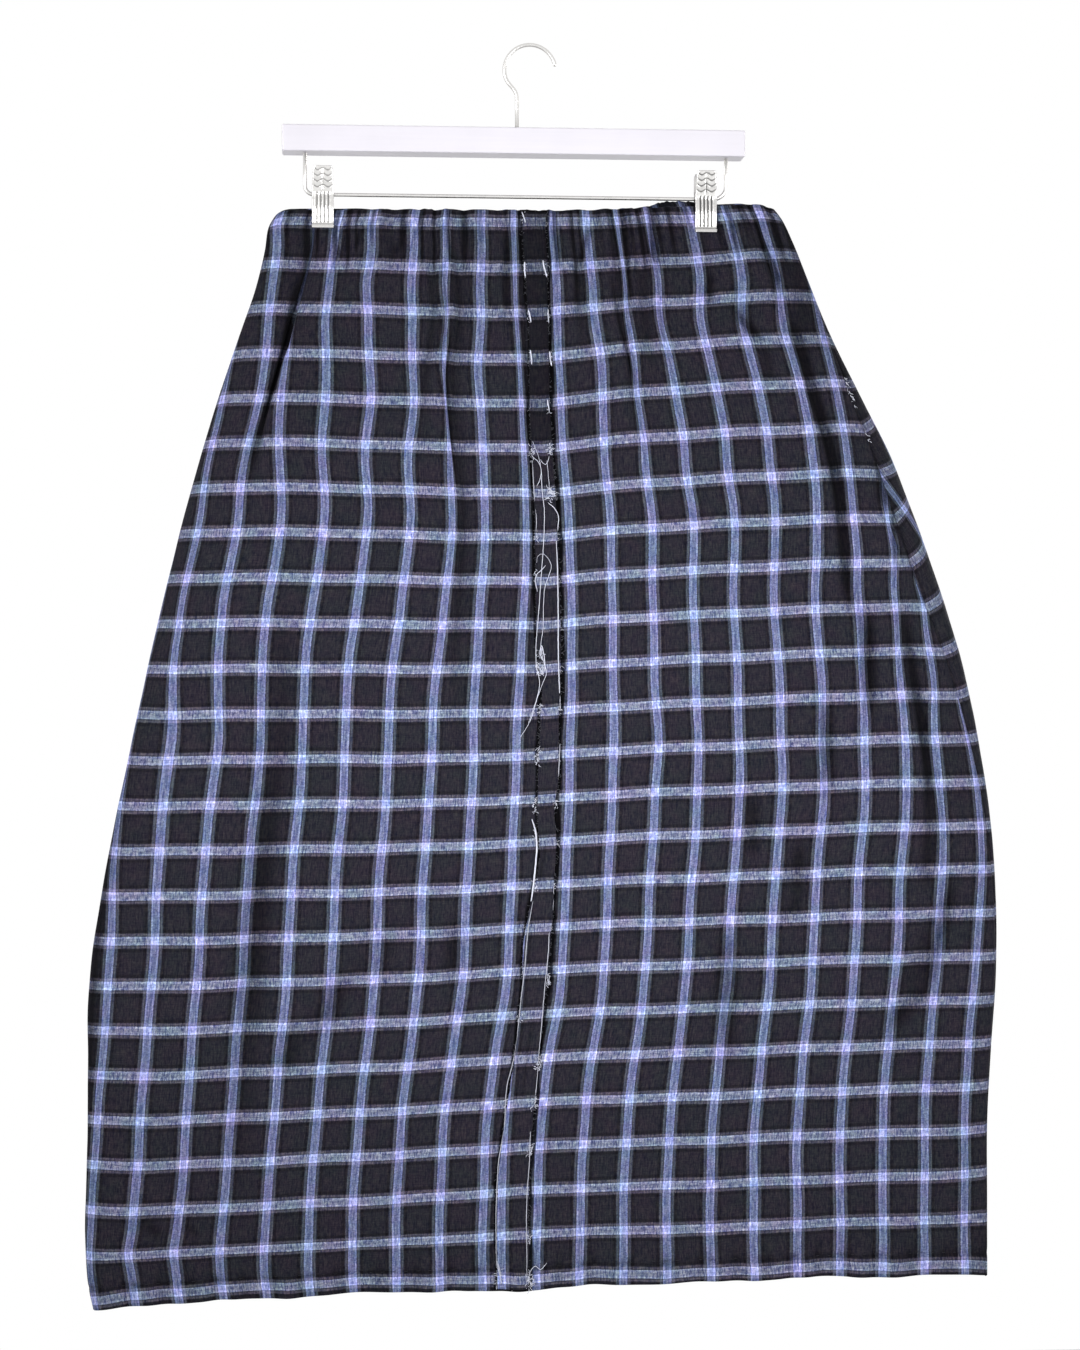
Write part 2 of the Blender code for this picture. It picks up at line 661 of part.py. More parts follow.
def rail():
    """The wire under the bar that carries the clips: a leg, a bend, the run, a wider bend and a leg."""
    top = BAR_TOP - BAR_HEIGHT - GAP
    tight, wide = RAIL_BEND_LEFT, RAIL_BEND_RIGHT
    left = arc_points(RAIL_LEFT + tight, RAIL_Z + tight, tight, 180, 270, 7)
    right = arc_points(RAIL_RIGHT - wide, RAIL_Z + wide, wide, 270, 360, 8)
    path = np.concatenate([[[RAIL_LEFT, 0, top]], left, right, [[RAIL_RIGHT, 0, top]]])
    return round_wire("clip_rail", path, RAIL_WIRE)


def clip_plate(name, middle, side):
    """A bent plate: its side profile, thickened outwards and carried across, wider at its jaw."""
    profile = np.array(PLATE_PROFILE)
    slope = np.gradient(profile, axis=0)
    normal = np.stack([-slope[:, 1], slope[:, 0]], -1)
    normal = normal / np.linalg.norm(normal, axis=1, keepdims=True)
    outer = profile + normal * CLIP_PLATE
    share = np.clip((profile[:, 1] - RAIL_Z) / (CLIP_TOP - RAIL_Z), 0, 1)
    half = (CLIP_WIDTH + (CLIP_TOP_WIDTH - CLIP_WIDTH) * share) / 2
    layers = []
    for face in (outer, profile):
        left = np.stack([middle - half, side * face[:, 0], face[:, 1]], -1)
        right = np.stack([middle + half, side * face[:, 0], face[:, 1]], -1)
        layers.append(np.stack([left, right], 1))
    points, faces = closed_wall(*layers)
    return add_object(name, points, outward_faces(points, faces.tolist()), STEEL_FINISH, angle=30)


def spring(name, middle):
    """The spring's coil as a plain sleeve round the rail: four rings, outer and inner at both ends."""
    angle = np.linspace(0, 2 * math.pi, SPRING_SIDES, endpoint=False)
    rings = []
    half = SPRING_LENGTH / 2
    bore = RAIL_WIRE / 2 + GAP
    for radius, x in ((SPRING_RADIUS, -half), (SPRING_RADIUS, half), (bore, half), (bore, -half)):
        ring = [np.full(SPRING_SIDES, middle + x), radius * np.cos(angle), RAIL_Z + radius * np.sin(angle)]
        rings.append(np.stack(ring, -1))
    points = np.concatenate(rings)
    index = np.arange(4 * SPRING_SIDES).reshape(4, SPRING_SIDES)
    after, turned = np.roll(index, -1, axis=0), np.roll(index, -1, axis=1)
    both = np.roll(after, -1, axis=1)
    faces = np.stack([index, after, both, turned], -1).reshape(-1, 4).tolist()
    return add_object(name, points, outward_faces(points, faces), STEEL_FINISH)


def clip(name, middle):
    clip_plate(f"{name}_front_plate", middle, -1)
    clip_plate(f"{name}_back_plate", middle, 1)
    spring(f"{name}_spring", middle)


def main():
    for old in list(bpy.data.objects):
        bpy.data.objects.remove(old)
    front_panel("front_left", -1)
    front_panel("front_right", 1)
    back_panel()
    centre_strip()
    hook()
    bar()
    rail()
    clip("clip_left", CLIP_LEFT)
    clip("clip_right", CLIP_RIGHT)


if __name__ == "__main__":
    main()
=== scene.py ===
"""Looks of a checked midi skirt that hangs by two spring clips from a white bar hanger.

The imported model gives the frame: metres, +Z up, the front faces -Y, the origin is the inner top of the
hanger's hook. Sizes in the tables below are in millimetres. The settings that a user sees are in metres.

A point of a panel has two cloth coordinates. Its drop is measured down the cloth from the waist edge. Its
across is measured along the cloth from the centre line, negative to the left.
"""

import collections
import functools
import math

import bpy
import numpy as np
from bpy.props import FloatProperty, FloatVectorProperty, IntProperty, PointerProperty
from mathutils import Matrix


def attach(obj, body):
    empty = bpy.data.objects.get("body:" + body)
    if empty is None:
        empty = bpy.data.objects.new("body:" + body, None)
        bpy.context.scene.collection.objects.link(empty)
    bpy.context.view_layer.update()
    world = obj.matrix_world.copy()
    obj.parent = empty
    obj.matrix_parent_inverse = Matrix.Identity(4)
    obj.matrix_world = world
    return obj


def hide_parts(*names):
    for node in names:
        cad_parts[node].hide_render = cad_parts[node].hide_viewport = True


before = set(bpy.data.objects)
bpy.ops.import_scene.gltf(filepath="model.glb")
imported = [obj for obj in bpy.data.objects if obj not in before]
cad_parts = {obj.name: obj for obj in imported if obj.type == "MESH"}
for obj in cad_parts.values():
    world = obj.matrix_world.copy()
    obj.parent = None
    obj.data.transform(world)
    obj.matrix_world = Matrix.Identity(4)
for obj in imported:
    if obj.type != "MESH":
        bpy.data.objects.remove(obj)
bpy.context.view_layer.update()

bl_info = {
    "name": "Checked Midi Skirt",
    "version": (1, 0, 0),
    "blender": (4, 5, 0),
    "location": "View3D > Sidebar > Skirt",
    "description": "Makes the cloth, the strip, the threads and the hanger of a checked midi skirt",
    "category": "Object",
}

MM = 0.001

# The skirt
WAIST_Z = -133.0
SKIRT_LENGTH = 856.0
CASING_DEPTH = 32.0
CASING_EXTRA = 1.3
HEM_DEPTH = 17.0
HEM_EXTRA = 0.8
TURNING_STEP = 1.2
SEAM_GAP = 0.5
CENTRE_GAP = 0.3
WAIST_RISE_RUN = 110.0
HEM_RISE_FROM = 790.0
HEM_CORNER_SAG = 4.5
HEM_CORNER_SHARPNESS = 10
BACK_LIFT = 2.5
BACK_LIFT_RUN = 25.0
BACK_LIFT_DEPTH = 6.0
CORNER_DROP = 5.0
CORNER_RUN = 7.0
CORNER_DEPTH = 14.0
SEAM_REACH = 70.0
CHORD_STEP = 1.5

# Where the check's first stripes lie, and the back's upright stripe that is nearest its right seam
FIRST_WEFT = 8.6
LEFT_WARP = -24.0
RIGHT_WARP = 20.0
BACK_WARP = 17.5
FIRST_BACK_WARP = 297.5

# Folds
FOLD_SPREAD = 0.35
FOLD_EASE = 0.45
FOLD_SHOULDERS = 1.5
STEP_HEIGHT = 2.3
SEAM_CALM = 14.0
CASING_CALM = 0.45
CASING_CALM_TO = 12.0
CASING_CALM_RUN = 40.0
PINCH_FLAT = 11.0
PINCH_RUN = 24.0
PINCH_DEPTH = 16.0
PINCH_FADE = 55.0

# The hanger
HOOK_RADIUS = 20.5
HOOK_WIRE = 3.0
HOOK_STEM_X = -10.5
HOOK_TIP_ANGLE = 14.0
HOOK_THROAT_ANGLE = 194.0
HOOK_THROAT_PULL = 8.0
HOOK_NECK_Z = -42.0
HOOK_NECK_PULL = 9.0
HOOK_NECK_END = 8.0
BAR_TOP = -66.5
BAR_HEIGHT = 21.0
RAIL_LEFT = -179.4
RAIL_RIGHT = 158.0
RAIL_Z = -120.3
RAIL_BEND_LEFT = 7.0
RAIL_BEND_RIGHT = 11.0
INTO_WOOD = 0.6
CLIP_LEFT = -165.2
CLIP_RIGHT = 141.2
CLIP_TOP = -99.0
CLIP_WIDTH = 17.4
CLIP_TOP_WIDTH = 16.0
CLIP_HALF_GRIP = 4.2
PLATE_CLEAR = 0.45
SPRING_RADIUS = 3.6

# The skirt's sections. drop: distance down the cloth. left_x, centre_x, right_x: the left side fold, the
# centre line and the right side fold. front, back: how far the cloth stands before and behind the middle
# plane. end_run: how far in from a side fold the section is still rounding.
SECTION_COLUMNS = ("drop", "left_x", "centre_x", "right_x", "front", "back", "end_run")
SECTIONS = (
    (0, -204, 2, 199, 9, 9, 14),
    (10, -208, 2, 204, 10, 10, 15),
    (30, -211, 3, 212, 11, 12, 18),
    (60, -218, 4, 223, 15, 18, 25),
    (100, -232, 5, 239, 22, 26, 36),
    (150, -249, 6, 264, 30, 34, 50),
    (200, -264, 8, 290, 36, 41, 61),
    (250, -278, 10, 311, 40, 45, 71),
    (300, -290, 11, 329, 41, 47, 82),
    (350, -302, 11, 345, 40, 46, 91),
    (400, -313, 11, 357, 38, 44, 100),
    (450, -324, 10, 367, 35, 41, 108),
    (500, -334, 8, 374, 32, 38, 115),
    (560, -344, 4, 378, 30, 35, 122),
    (620, -350, -2, 378, 28, 32, 128),
    (680, -351, -9, 374, 26, 30, 133),
    (740, -352, -14, 371, 24, 28, 137),
    (800, -353, -16, 371, 23, 27, 140),
    (840, -350, -16, 371, 22, 26, 140),
    (856, -346, -16, 371, 22, 26, 140),
)

# How the cloth lies on those sections. left_edge, right_edge: the cloth's across at the two side folds.
# left_seam, right_seam: how far round to the front of its side fold each side seam lies, negative behind.
# left_rise, centre_rise, right_rise: how much higher than its drop the cloth hangs there.
CLOTH_COLUMNS = (
    "drop", "left_edge", "right_edge", "left_seam", "right_seam", "left_rise", "centre_rise", "right_rise",
)
CLOTH = (
    (0, 278, 253, 0, -12, -1, 0, 7.5),
    (60, 289, 264, 4, -2, -1, -3, 12),
    (120, 309, 288, 0, 15, -3, -6, 12),
    (200, 326, 325, -8, 33, -4, -8, 10),
    (300, 348, 366, -15, 38, -5, -7, 8),
    (400, 358, 392, -22, 23, -7, -5, 8),
    (500, 357, 396, -30, 12, -9, -3, 8),
    (600, 361, 398, -35, 5, -10, 0, 8),
    (740, 356, 397, -42, 4, -12, -1, 8),
    (856, 345, 395, -46, 4, -14, 0, 7),
)

# The large folds. top, low: the across at which a fold starts and ends. start, end: the drops where it
# shows. width: the cloth it bends. height: how far it stands out, negative for a trough. lean: 0 for an
# even ridge, 1 or -1 for a pleat's step that falls to the right or the left. take: the cloth it takes up.
Fold = collections.namedtuple("Fold", ("top", "low", "start", "end", "width", "height", "lean", "take"))
FRONT_FOLDS = tuple(Fold(*row) for row in (
    (-14, -14, 0, 430, 22, -3.0, 0, 9),
    (-42, -40, 0, 130, 24, 3.0, 0, 9),
    (-86, -80, 0, 480, 26, 4.0, 1, 8),
    (-110, -112, 0, 210, 28, -3.5, 0, 10),
    (-147, -146, 0, 60, 24, -2.5, 0, 2),
    (-182, -184, 0, 90, 26, 3.5, 0, 9),
    (-226, -262, 0, 240, 32, -6.5, 0.3, 22),
    (-219, -226, 300, 800, 60, -3.0, 0, 0),
    (-118, -204, 560, 690, 44, -2.5, 0, 0),
    (-64, -60, 540, 640, 30, -2.0, 0, 0),
    (-316, -322, 230, 420, 34, 0.8, 0, 14),
    (12, 12, 0, 260, 20, -2.5, 0, 5),
    (42, 44, 0, 130, 24, -3.5, 0, 8),
    (80, 90, 0, 220, 28, -3.5, 0, 12),
    (114, 118, 0, 160, 26, 4.0, -1, 9),
    (172, 168, 0, 100, 24, -2.5, 0, 4),
    (190, 208, 60, 130, 26, -2.5, 0, 2),
    (214, 232, 0, 110, 28, -5.5, -0.3, 10),
    (236, 262, 80, 320, 30, -4.5, 0, 7),
    (272, 274, 290, 430, 30, -3.0, 0, 3),
    (306, 344, 300, 560, 40, -4.0, 0, 12),
    (344, 296, 540, 680, 44, -3.5, 0, 0),
    (234, 236, 370, 480, 30, -2.5, 0, 0),
    (172, 174, 450, 530, 28, -2.0, 0, 0),
    (216, 206, 490, 570, 30, -2.5, 0, 0),
    (156, 158, 560, 670, 34, -2.5, 0, 0),
))
BACK_FOLDS = tuple(Fold(*row) for row in (
    (-226, -236, 0, 190, 28, -3.5, 0, 9),
    (-188, -190, 0, 120, 26, 3.0, 0, 8),
    (-150, -158, 0, 260, 28, -4.0, -0.4, 10),
    (-108, -104, 0, 110, 26, 3.0, 0, 8),
    (-66, -70, 0, 170, 28, -3.5, 0, 9),
    (-24, -18, 0, 140, 26, 3.5, 0, 8),
    (16, 22, 0, 330, 30, -4.5, 0.5, 10),
    (62, 60, 0, 120, 26, 3.0, 0, 8),
    (104, 110, 0, 180, 28, -3.5, 0, 9),
    (146, 144, 0, 110, 26, 3.0, 0, 8),
    (188, 204, 0, 290, 30, -5.0, 0, 10),
    (230, 238, 0, 130, 26, -3.0, 0, 8),
    (-140, -196, 280, 620, 56, -4.0, 0, 0),
    (70, 34, 330, 700, 60, -3.5, 0, 0),
    (206, 262, 300, 660, 54, -4.5, 0, 0),
    (-40, -92, 540, 760, 50, -3.0, 0, 0),
    (150, 176, 600, 800, 46, -2.5, 0, 0),
))

# The back panel's half width along the cloth, and how far the strip's two edges stand from the centre line.
BACK_HALF_COLUMNS = ("drop", "half")
BACK_HALF = (
    (0, 268),
    (60, 276),
    (120, 292),
    (200, 312),
    (300, 332),
    (400, 344),
    (500, 350),
    (600, 354),
    (740, 354),
    (856, 352),
)
STRIP_EDGE_COLUMNS = ("drop", "left", "right")
STRIP_EDGES = (
    (0, 9.2, 10.6),
    (40, 9.6, 10.4),
    (90, 7.4, 9.4),
    (145, 9.4, 8.6),
    (200, 9.4, 8.6),
    (300, 10.0, 9.2),
    (345, 8.2, 10.4),
    (376, 5.0, 9.8),
    (410, 6.0, 8.8),
    (450, 6.2, 9.6),
    (472, 6.0, 7.4),
    (490, 4.0, 9.6),
    (513, 2.2, 10.6),
    (545, 6.4, 11.0),
    (578, 9.4, 11.8),
    (630, 5.8, 12.4),
    (675, 6.2, 12.8),
    (709, 8.2, 13.2),
    (760, 11.4, 12.8),
    (834, 11.8, 13.4),
    (856, 11.8, 13.4),
)

# Small creases, each a straight soft ridge or trough on the cloth from one point to another. width: how
# wide it is. height: how far it stands out, negative for a trough.
Crease = collections.namedtuple("Crease", ("across", "drop", "to_across", "to_drop", "width", "height"))
FRONT_CREASES = tuple(Crease(*row) for row in (
    (-234, 8, -236, 60, 13, -2.6),
    (-236, 60, -240, 112, 13, -2.4),
    (-240, 2, -243, 66, 32, -0.8),
    (-243, 66, -250, 150, 28, -0.6),
    (-249, 62, -250, 130, 9, -1.5),
    (-250, 130, -264, 205, 13, -1.1),
    (-170, 0, -180, 12, 5, 0.8),
    (-176, 2, -187, 16, 5, -0.9),
    (-168, 10, -184, 32, 6, -1.2),
    (-188, 10, -199, 34, 7, -1.3),
    (-135, 8, -145, 35, 7, -1.3),
    (-68, 8, -75, 32, 6, -1.0),
    (-99, 34, -98, 95, 5, -1.3),
    (-98, 95, -92, 165, 4, -1.3),
    (-89, 92, -86, 205, 5, -2.0),
    (-92, 165, -96, 230, 6, -0.8),
    (-30, 18, -36, 78, 8, -1.0),
    (-219, 320, -221, 460, 20, -0.5),
    (-221, 460, -221, 615, 20, -0.7),
    (-221, 615, -226, 755, 20, -0.35),
    (-158, 600, -160, 642, 20, -0.8),
    (-189, 632, -192, 674, 18, -0.8),
    (-118, 568, -122, 602, 16, -0.7),
    (-66, 562, -66, 600, 16, -0.7),
    (-298, 786, -284, 798, 10, -0.9),
    (-264, 788, -254, 798, 7, -0.8),
    (-352, 500, -356, 700, 12, -1.4),
    (40, 40, 36, 76, 7, -1.1),
    (60, 10, 42, 42, 7, -1.4),
    (131, 0, 122, 54, 6, -1.4),
    (126, 12, 124, 44, 12, -2.4),
    (95, 6, 94, 84, 5, -1.8),
    (71, 54, 80, 100, 6, -1.1),
    (80, 100, 89, 138, 6, -0.9),
    (170, 58, 168, 82, 8, -1.0),
    (188, 88, 208, 112, 9, -1.3),
    (219, 0, 223, 22, 9, -1.6),
    (223, 22, 229, 66, 9, -1.8),
    (244, 6, 250, 120, 28, -0.8),
    (238, 104, 243, 160, 12, -1.6),
    (243, 160, 252, 232, 12, -1.6),
    (252, 232, 261, 322, 11, -1.6),
    (209, 120, 206, 144, 9, -0.9),
    (299, 204, 297, 241, 12, -3.0),
    (304, 250, 306, 290, 5, -1.6),
    (278, 328, 272, 402, 14, -1.2),
    (312, 328, 325, 412, 14, -1.2),
    (325, 412, 320, 476, 14, -1.4),
    (320, 476, 324, 542, 14, -1.2),
    (347, 546, 328, 630, 14, -1.2),
    (328, 630, 300, 658, 14, -0.9),
    (234, 396, 234, 472, 12, -0.9),
    (172, 474, 175, 516, 12, -0.8),
    (214, 512, 216, 556, 12, -0.9),
    (216, 556, 204, 570, 12, -0.8),
    (159, 586, 168, 676, 16, -0.9),
))
BACK_CREASES = tuple(Crease(*row) for row in (
    (-230, 8, -238, 60, 8, -1.5),
    (-196, 6, -186, 40, 7, -1.2),
    (-160, 30, -152, 96, 7, -1.2),
    (-118, 8, -124, 44, 6, -1.1),
    (-74, 20, -66, 84, 7, -1.2),
    (-30, 6, -38, 36, 6, -1.0),
    (8, 36, 14, 120, 6, -1.3),
    (50, 6, 58, 40, 7, -1.1),
    (96, 24, 102, 90, 7, -1.2),
    (140, 6, 132, 38, 6, -1.1),
    (180, 30, 190, 110, 8, -1.4),
    (222, 8, 214, 46, 7, -1.2),
    (244, 60, 252, 140, 9, -1.2),
    (-252, 140, -262, 230, 12, -1.2),
    (-180, 300, -192, 410, 16, -1.2),
    (-100, 250, -110, 330, 12, -0.9),
    (28, 200, 24, 300, 12, -1.1),
    (120, 330, 128, 420, 14, -1.0),
    (262, 260, 282, 360, 14, -1.3),
    (300, 420, 292, 520, 15, -1.1),
    (-290, 480, -276, 590, 16, -1.2),
    (-60, 600, -78, 700, 16, -1.0),
    (54, 470, 48, 560, 16, -1.0),
    (170, 640, 182, 730, 16, -0.9),
    (-220, 700, -232, 770, 16, -0.9),
    (90, 740, 96, 800, 14, -0.8),
))

# The strip's own creases, in the same columns: the offset from the centre line stands for the across.
STRIP_CREASES = tuple(Crease(*row) for row in (
    (0.5, 0, 0.8, 24, 1.8, -0.7),
    (-5, 88, 6, 104, 2.0, -0.5),
    (-2, 120, -3, 150, 2.4, -0.4),
    (4, 300, 3, 345, 2.4, -0.4),
    (2, 500, -1, 530, 2.2, -0.5),
    (5, 640, 3, 700, 2.6, -0.4),
))

# Yarns that lie on the strip, as points (offset from the centre line, drop), top to bottom. width: the
# yarn's width. pale: 0 for the dark ground's yarn, 1 for white. lift: how far it stands off the strip.
Yarn = collections.namedtuple("Yarn", ("width", "pale", "lift", "route"))
YARNS = tuple(Yarn(*row) for row in (
    (1.2, 1.0, 0.5, ((-10, 0.5), (-8.6, 4), (-7.1, 9))),
    (1.3, 1.0, 0.5, ((-9.2, 39), (-9.7, 45), (-9, 51))),
    (1.4, 1.0, 0.5, ((6.4, 38), (7, 43), (8.4, 47), (9.4, 51))),
    (1.2, 1.0, 0.5, ((-7.6, 76), (-6.5, 80), (-5.4, 86))),
    (1.0, 0.9, 0.5, ((9.6, 76), (9.4, 81), (9.8, 87))),
    (1.1, 1.0, 0.5, ((-7.2, 107), (-6.4, 111), (-5.9, 118))),
    (1.2, 1.0, 0.5, ((9.6, 109), (10.1, 114), (11, 120))),
    (1.2, 1.0, 0.5, ((6, 146), (7, 152), (7.8, 158))),
    (0.6, 0.6, 0.6, ((-9.2, 195), (-9.4, 210), (-9, 224), (-8, 240), (-9, 249))),
    (0.8, 0.8, 0.6, ((7.5, 257), (7.9, 280), (8, 304), (8.2, 330), (8.4, 352), (9.2, 375), (10, 393))),
    (0.7, 0.7, 0.6, ((10.2, 420), (9.8, 440), (9, 456))),
    (1.9, 0.85, 0.5, ((-10, 479), (-7, 488), (-5.2, 498), (-5, 513), (-5.6, 529), (-6.6, 546))),
    (0.7, 0.6, 0.5, ((-5, 546), (-6.2, 556), (-7, 568), (-7, 582), (-6.4, 600), (-6.6, 620), (-6, 658))),
    (0.7, 0.55, 0.5, (
        (-6, 658), (-7.2, 676), (-9.6, 690), (-9.2, 728), (-12, 752), (-12.6, 776), (-12.4, 836),
    )),
    (0.8, 0.7, 0.5, (
        (10.6, 536), (11.3, 552), (10.2, 566), (11, 590), (11.2, 614), (12.4, 650), (13, 673),
    )),
    (0.7, 0.7, 0.5, (
        (13, 673), (13.6, 694), (12.8, 713), (12, 732), (12.4, 752), (11.6, 776), (12.2, 852),
    )),
    (0.5, 0.95, 1.0, (
        (-8, 178), (-4, 188), (-2, 200), (-2, 216), (-1, 232), (-2, 250), (-5, 284), (-8, 320), (-9.5, 345),
        (-9, 356), (-6.5, 370), (-9, 384), (-15, 403), (-21, 413),
    )),
    (0.5, 0.95, 1.2, (
        (-9, 274), (-8, 269), (-3, 267), (1, 271), (3, 277), (1, 284), (-2, 292), (-3.5, 306), (-4, 328),
        (-5.5, 340), (-3, 354), (-1, 361), (-4, 370), (-8, 381), (-15, 402),
    )),
    (0.5, 0.95, 1.3, ((-1.5, 276), (-5, 280), (-9, 283), (-10.5, 287), (-8.5, 297))),
    (0.5, 0.95, 1.2, ((-9, 190), (-4, 194), (-2, 200), (-3, 207), (-6, 213))),
    (0.5, 0.95, 1.3, ((2, 226), (7, 231), (10, 238), (9.5, 244), (9, 249))),
    (0.45, 0.9, 1.1, ((3, 193), (3.5, 204), (4, 216))),
    (0.5, 0.95, 1.2, ((-2, 192), (0, 195), (2, 196), (4, 193), (5, 190))),
    (0.6, 0.95, 1.3, ((-4, 352), (-6, 346), (-5, 340), (-3, 348), (-2, 360))),
    (0.45, 0.9, 1.0, ((-12, 832), (-10.6, 840), (-8, 850))),
    (0.45, 0.9, 1.2, ((-11, 834), (-9.2, 843), (-9, 850))),
    (0.45, 0.9, 1.2, ((13, 851), (15.2, 840), (18.4, 837), (23, 840), (28, 835))),
    (0.45, 0.9, 1.0, ((12.6, 848), (16, 846), (18, 850))),
))

# Tufts at the right side seam: the drop of each one's middle, how far it runs down, its yarns and reach.
SEAM_TUFTS = (
    (150, 16, 14, 3.0),
    (163, 10, 10, 2.6),
    (190, 8, 8, 2.4),
)

# Tufts of frayed yarn. offset, drop: a tuft's middle. along: how far it runs down. count: its yarns.
# reach: how long they are.
Tuft = collections.namedtuple("Tuft", ("offset", "drop", "along", "count", "reach"))
TUFTS = tuple(Tuft(*row) for row in (
    (-9, 5, 8, 6, 1.6),
    (-9.4, 45, 10, 10, 1.6),
    (8, 45, 12, 10, 1.6),
    (-6.6, 81, 9, 10, 1.6),
    (9.6, 82, 9, 8, 1.4),
    (-6.6, 112, 9, 10, 1.6),
    (10.2, 114, 10, 10, 1.6),
    (7, 152, 11, 12, 1.6),
    (-9.4, 187, 13, 26, 2.6),
    (6.6, 185, 10, 26, 2.4),
    (5, 219, 10, 34, 3.0),
    (-9, 254, 6, 16, 2.2),
    (-9.4, 284, 8, 8, 2.0),
    (-6.2, 353, 21, 60, 2.4),
    (-4.4, 361, 6, 30, 1.6),
    (-6, 390, 6, 14, 1.8),
    (9.2, 392, 6, 8, 1.6),
    (-7.6, 429, 15, 26, 2.2),
    (-8.4, 469, 10, 20, 2.0),
    (9, 467, 6, 14, 1.8),
    (-7, 492, 10, 12, 2.0),
    (-4, 533, 9, 20, 1.8),
    (11, 534, 7, 8, 1.6),
    (-8, 568, 8, 10, 1.8),
    (13.4, 611, 8, 26, 2.2),
    (-6.4, 640, 8, 10, 1.8),
    (14, 676, 11, 30, 2.2),
    (13, 708, 7, 26, 2.2),
    (-9, 706, 6, 8, 1.6),
    (13, 744, 8, 24, 2.0),
    (-12, 778, 8, 10, 1.6),
    (13.4, 815, 8, 22, 2.0),
    (-10.6, 845, 16, 26, 3.0),
    (14, 848, 12, 30, 3.4),
))

# A clip's plate in side view, from its handle down to its lip. depth: how far below the handle's top. out:
# how far its inner face stands from the middle plane.
PLATE_COLUMNS = ("depth", "out")
PLATE = (
    (0.0, 9.2),
    (8.0, 7.4),
    (17.5, 4.6),
    (21.3, SPRING_RADIUS + PLATE_CLEAR),
    (26.5, 4.7),
    (32.0, 5.3),
    (39.5, CLIP_HALF_GRIP + PLATE_CLEAR),
    (46.0, CLIP_HALF_GRIP + PLATE_CLEAR),
    (48.3, 5.8),
)


# Settings
class ClothSettings(bpy.types.PropertyGroup):
    """The check cloth and its make-up."""

    pitch: FloatProperty(
        name="Check pitch", description="Distance from one stripe to the next",
        default=0.035, min=0.01, max=0.1, unit="LENGTH", subtype="DISTANCE",
    )
    thickness: FloatProperty(
        name="Cloth thickness", description="Thickness of one layer of cloth",
        default=0.0009, min=0.0004, max=0.0014, unit="LENGTH", subtype="DISTANCE",
    )
    gather: FloatProperty(
        name="Gather height", description="How far the elastic's small gathers stand out at the waist",
        default=0.0007, min=0.0, max=0.003, unit="LENGTH", subtype="DISTANCE",
    )
    ground: FloatVectorProperty(
        name="Ground", description="Colour of the dark ground yarn",
        default=(0.0174, 0.0166, 0.0232), size=3, min=0, max=1, subtype="COLOR",
    )
    warp_band: FloatVectorProperty(
        name="Warp stripe", description="Colour of the yarn of the upright stripes",
        default=(0.222, 0.264, 0.480), size=3, min=0, max=1, subtype="COLOR",
    )
    weft_band: FloatVectorProperty(
        name="Weft stripe", description="Colour of the yarn of the level stripes",
        default=(0.270, 0.310, 0.470), size=3, min=0, max=1, subtype="COLOR",
    )
    side_line: FloatVectorProperty(
        name="Side line", description="Colour of the thin line beside each stripe",
        default=(0.090, 0.097, 0.140), size=3, min=0, max=1, subtype="COLOR",
    )


class StripSettings(bpy.types.PropertyGroup):
    """The raw-edged strip on the centre seam, and its frayed yarns."""

    lift: FloatProperty(
        name="Edge lift", description="How far the strip's raw edges curl away from the front",
        default=0.0009, min=0.0, max=0.002, unit="LENGTH", subtype="DISTANCE",
    )
    fringe: IntProperty(
        name="Short frays", description="How many short yarns stand out along the two raw edges",
        default=900, min=0, max=3000,
    )
    yarn: FloatProperty(
        name="Yarn width", description="Width of a frayed yarn",
        default=0.00042, min=0.0001, max=0.001, unit="LENGTH", subtype="DISTANCE",
    )
    pale: FloatVectorProperty(
        name="Pale yarn", description="Colour of the pale frayed yarns",
        default=(0.72, 0.74, 0.86), size=3, min=0, max=1, subtype="COLOR",
    )


class HangerSettings(bpy.types.PropertyGroup):
    """The hanger's paint and plated steel."""

    paint: FloatVectorProperty(
        name="Paint", description="Colour of the bar's white paint",
        default=(0.83, 0.805, 0.87), size=3, min=0, max=1, subtype="COLOR",
    )
    steel: FloatVectorProperty(
        name="Plated steel", description="Colour of the plated hook, rail and clips",
        default=(0.76, 0.75, 0.735), size=3, min=0, max=1, subtype="COLOR",
    )
    spring_turns: IntProperty(
        name="Spring turns", description="Turns of each clip's coil spring", default=8, min=3, max=12,
    )


class StageSettings(bpy.types.PropertyGroup):
    """The floor, the light and the camera."""

    floor_z: FloatProperty(
        name="Floor height", description="Height of the floor below the hook",
        default=-1.3, min=-3.0, max=-1.1, unit="LENGTH", subtype="DISTANCE",
    )
    key_power: FloatProperty(
        name="Key light", description="Power of the large light at the left", default=3.6, min=0.0,
        unit="POWER",
    )
    fill_power: FloatProperty(
        name="Fill light", description="Power of the large light at the right", default=2.5, min=0.0,
        unit="POWER",
    )
    back_power: FloatProperty(
        name="Back light", description="Power of the large light behind the skirt", default=3.1, min=0.0,
        unit="POWER",
    )
    ambient: FloatProperty(
        name="Ambient", description="Strength of the white surroundings", default=0.24, min=0.0, max=4.0,
    )


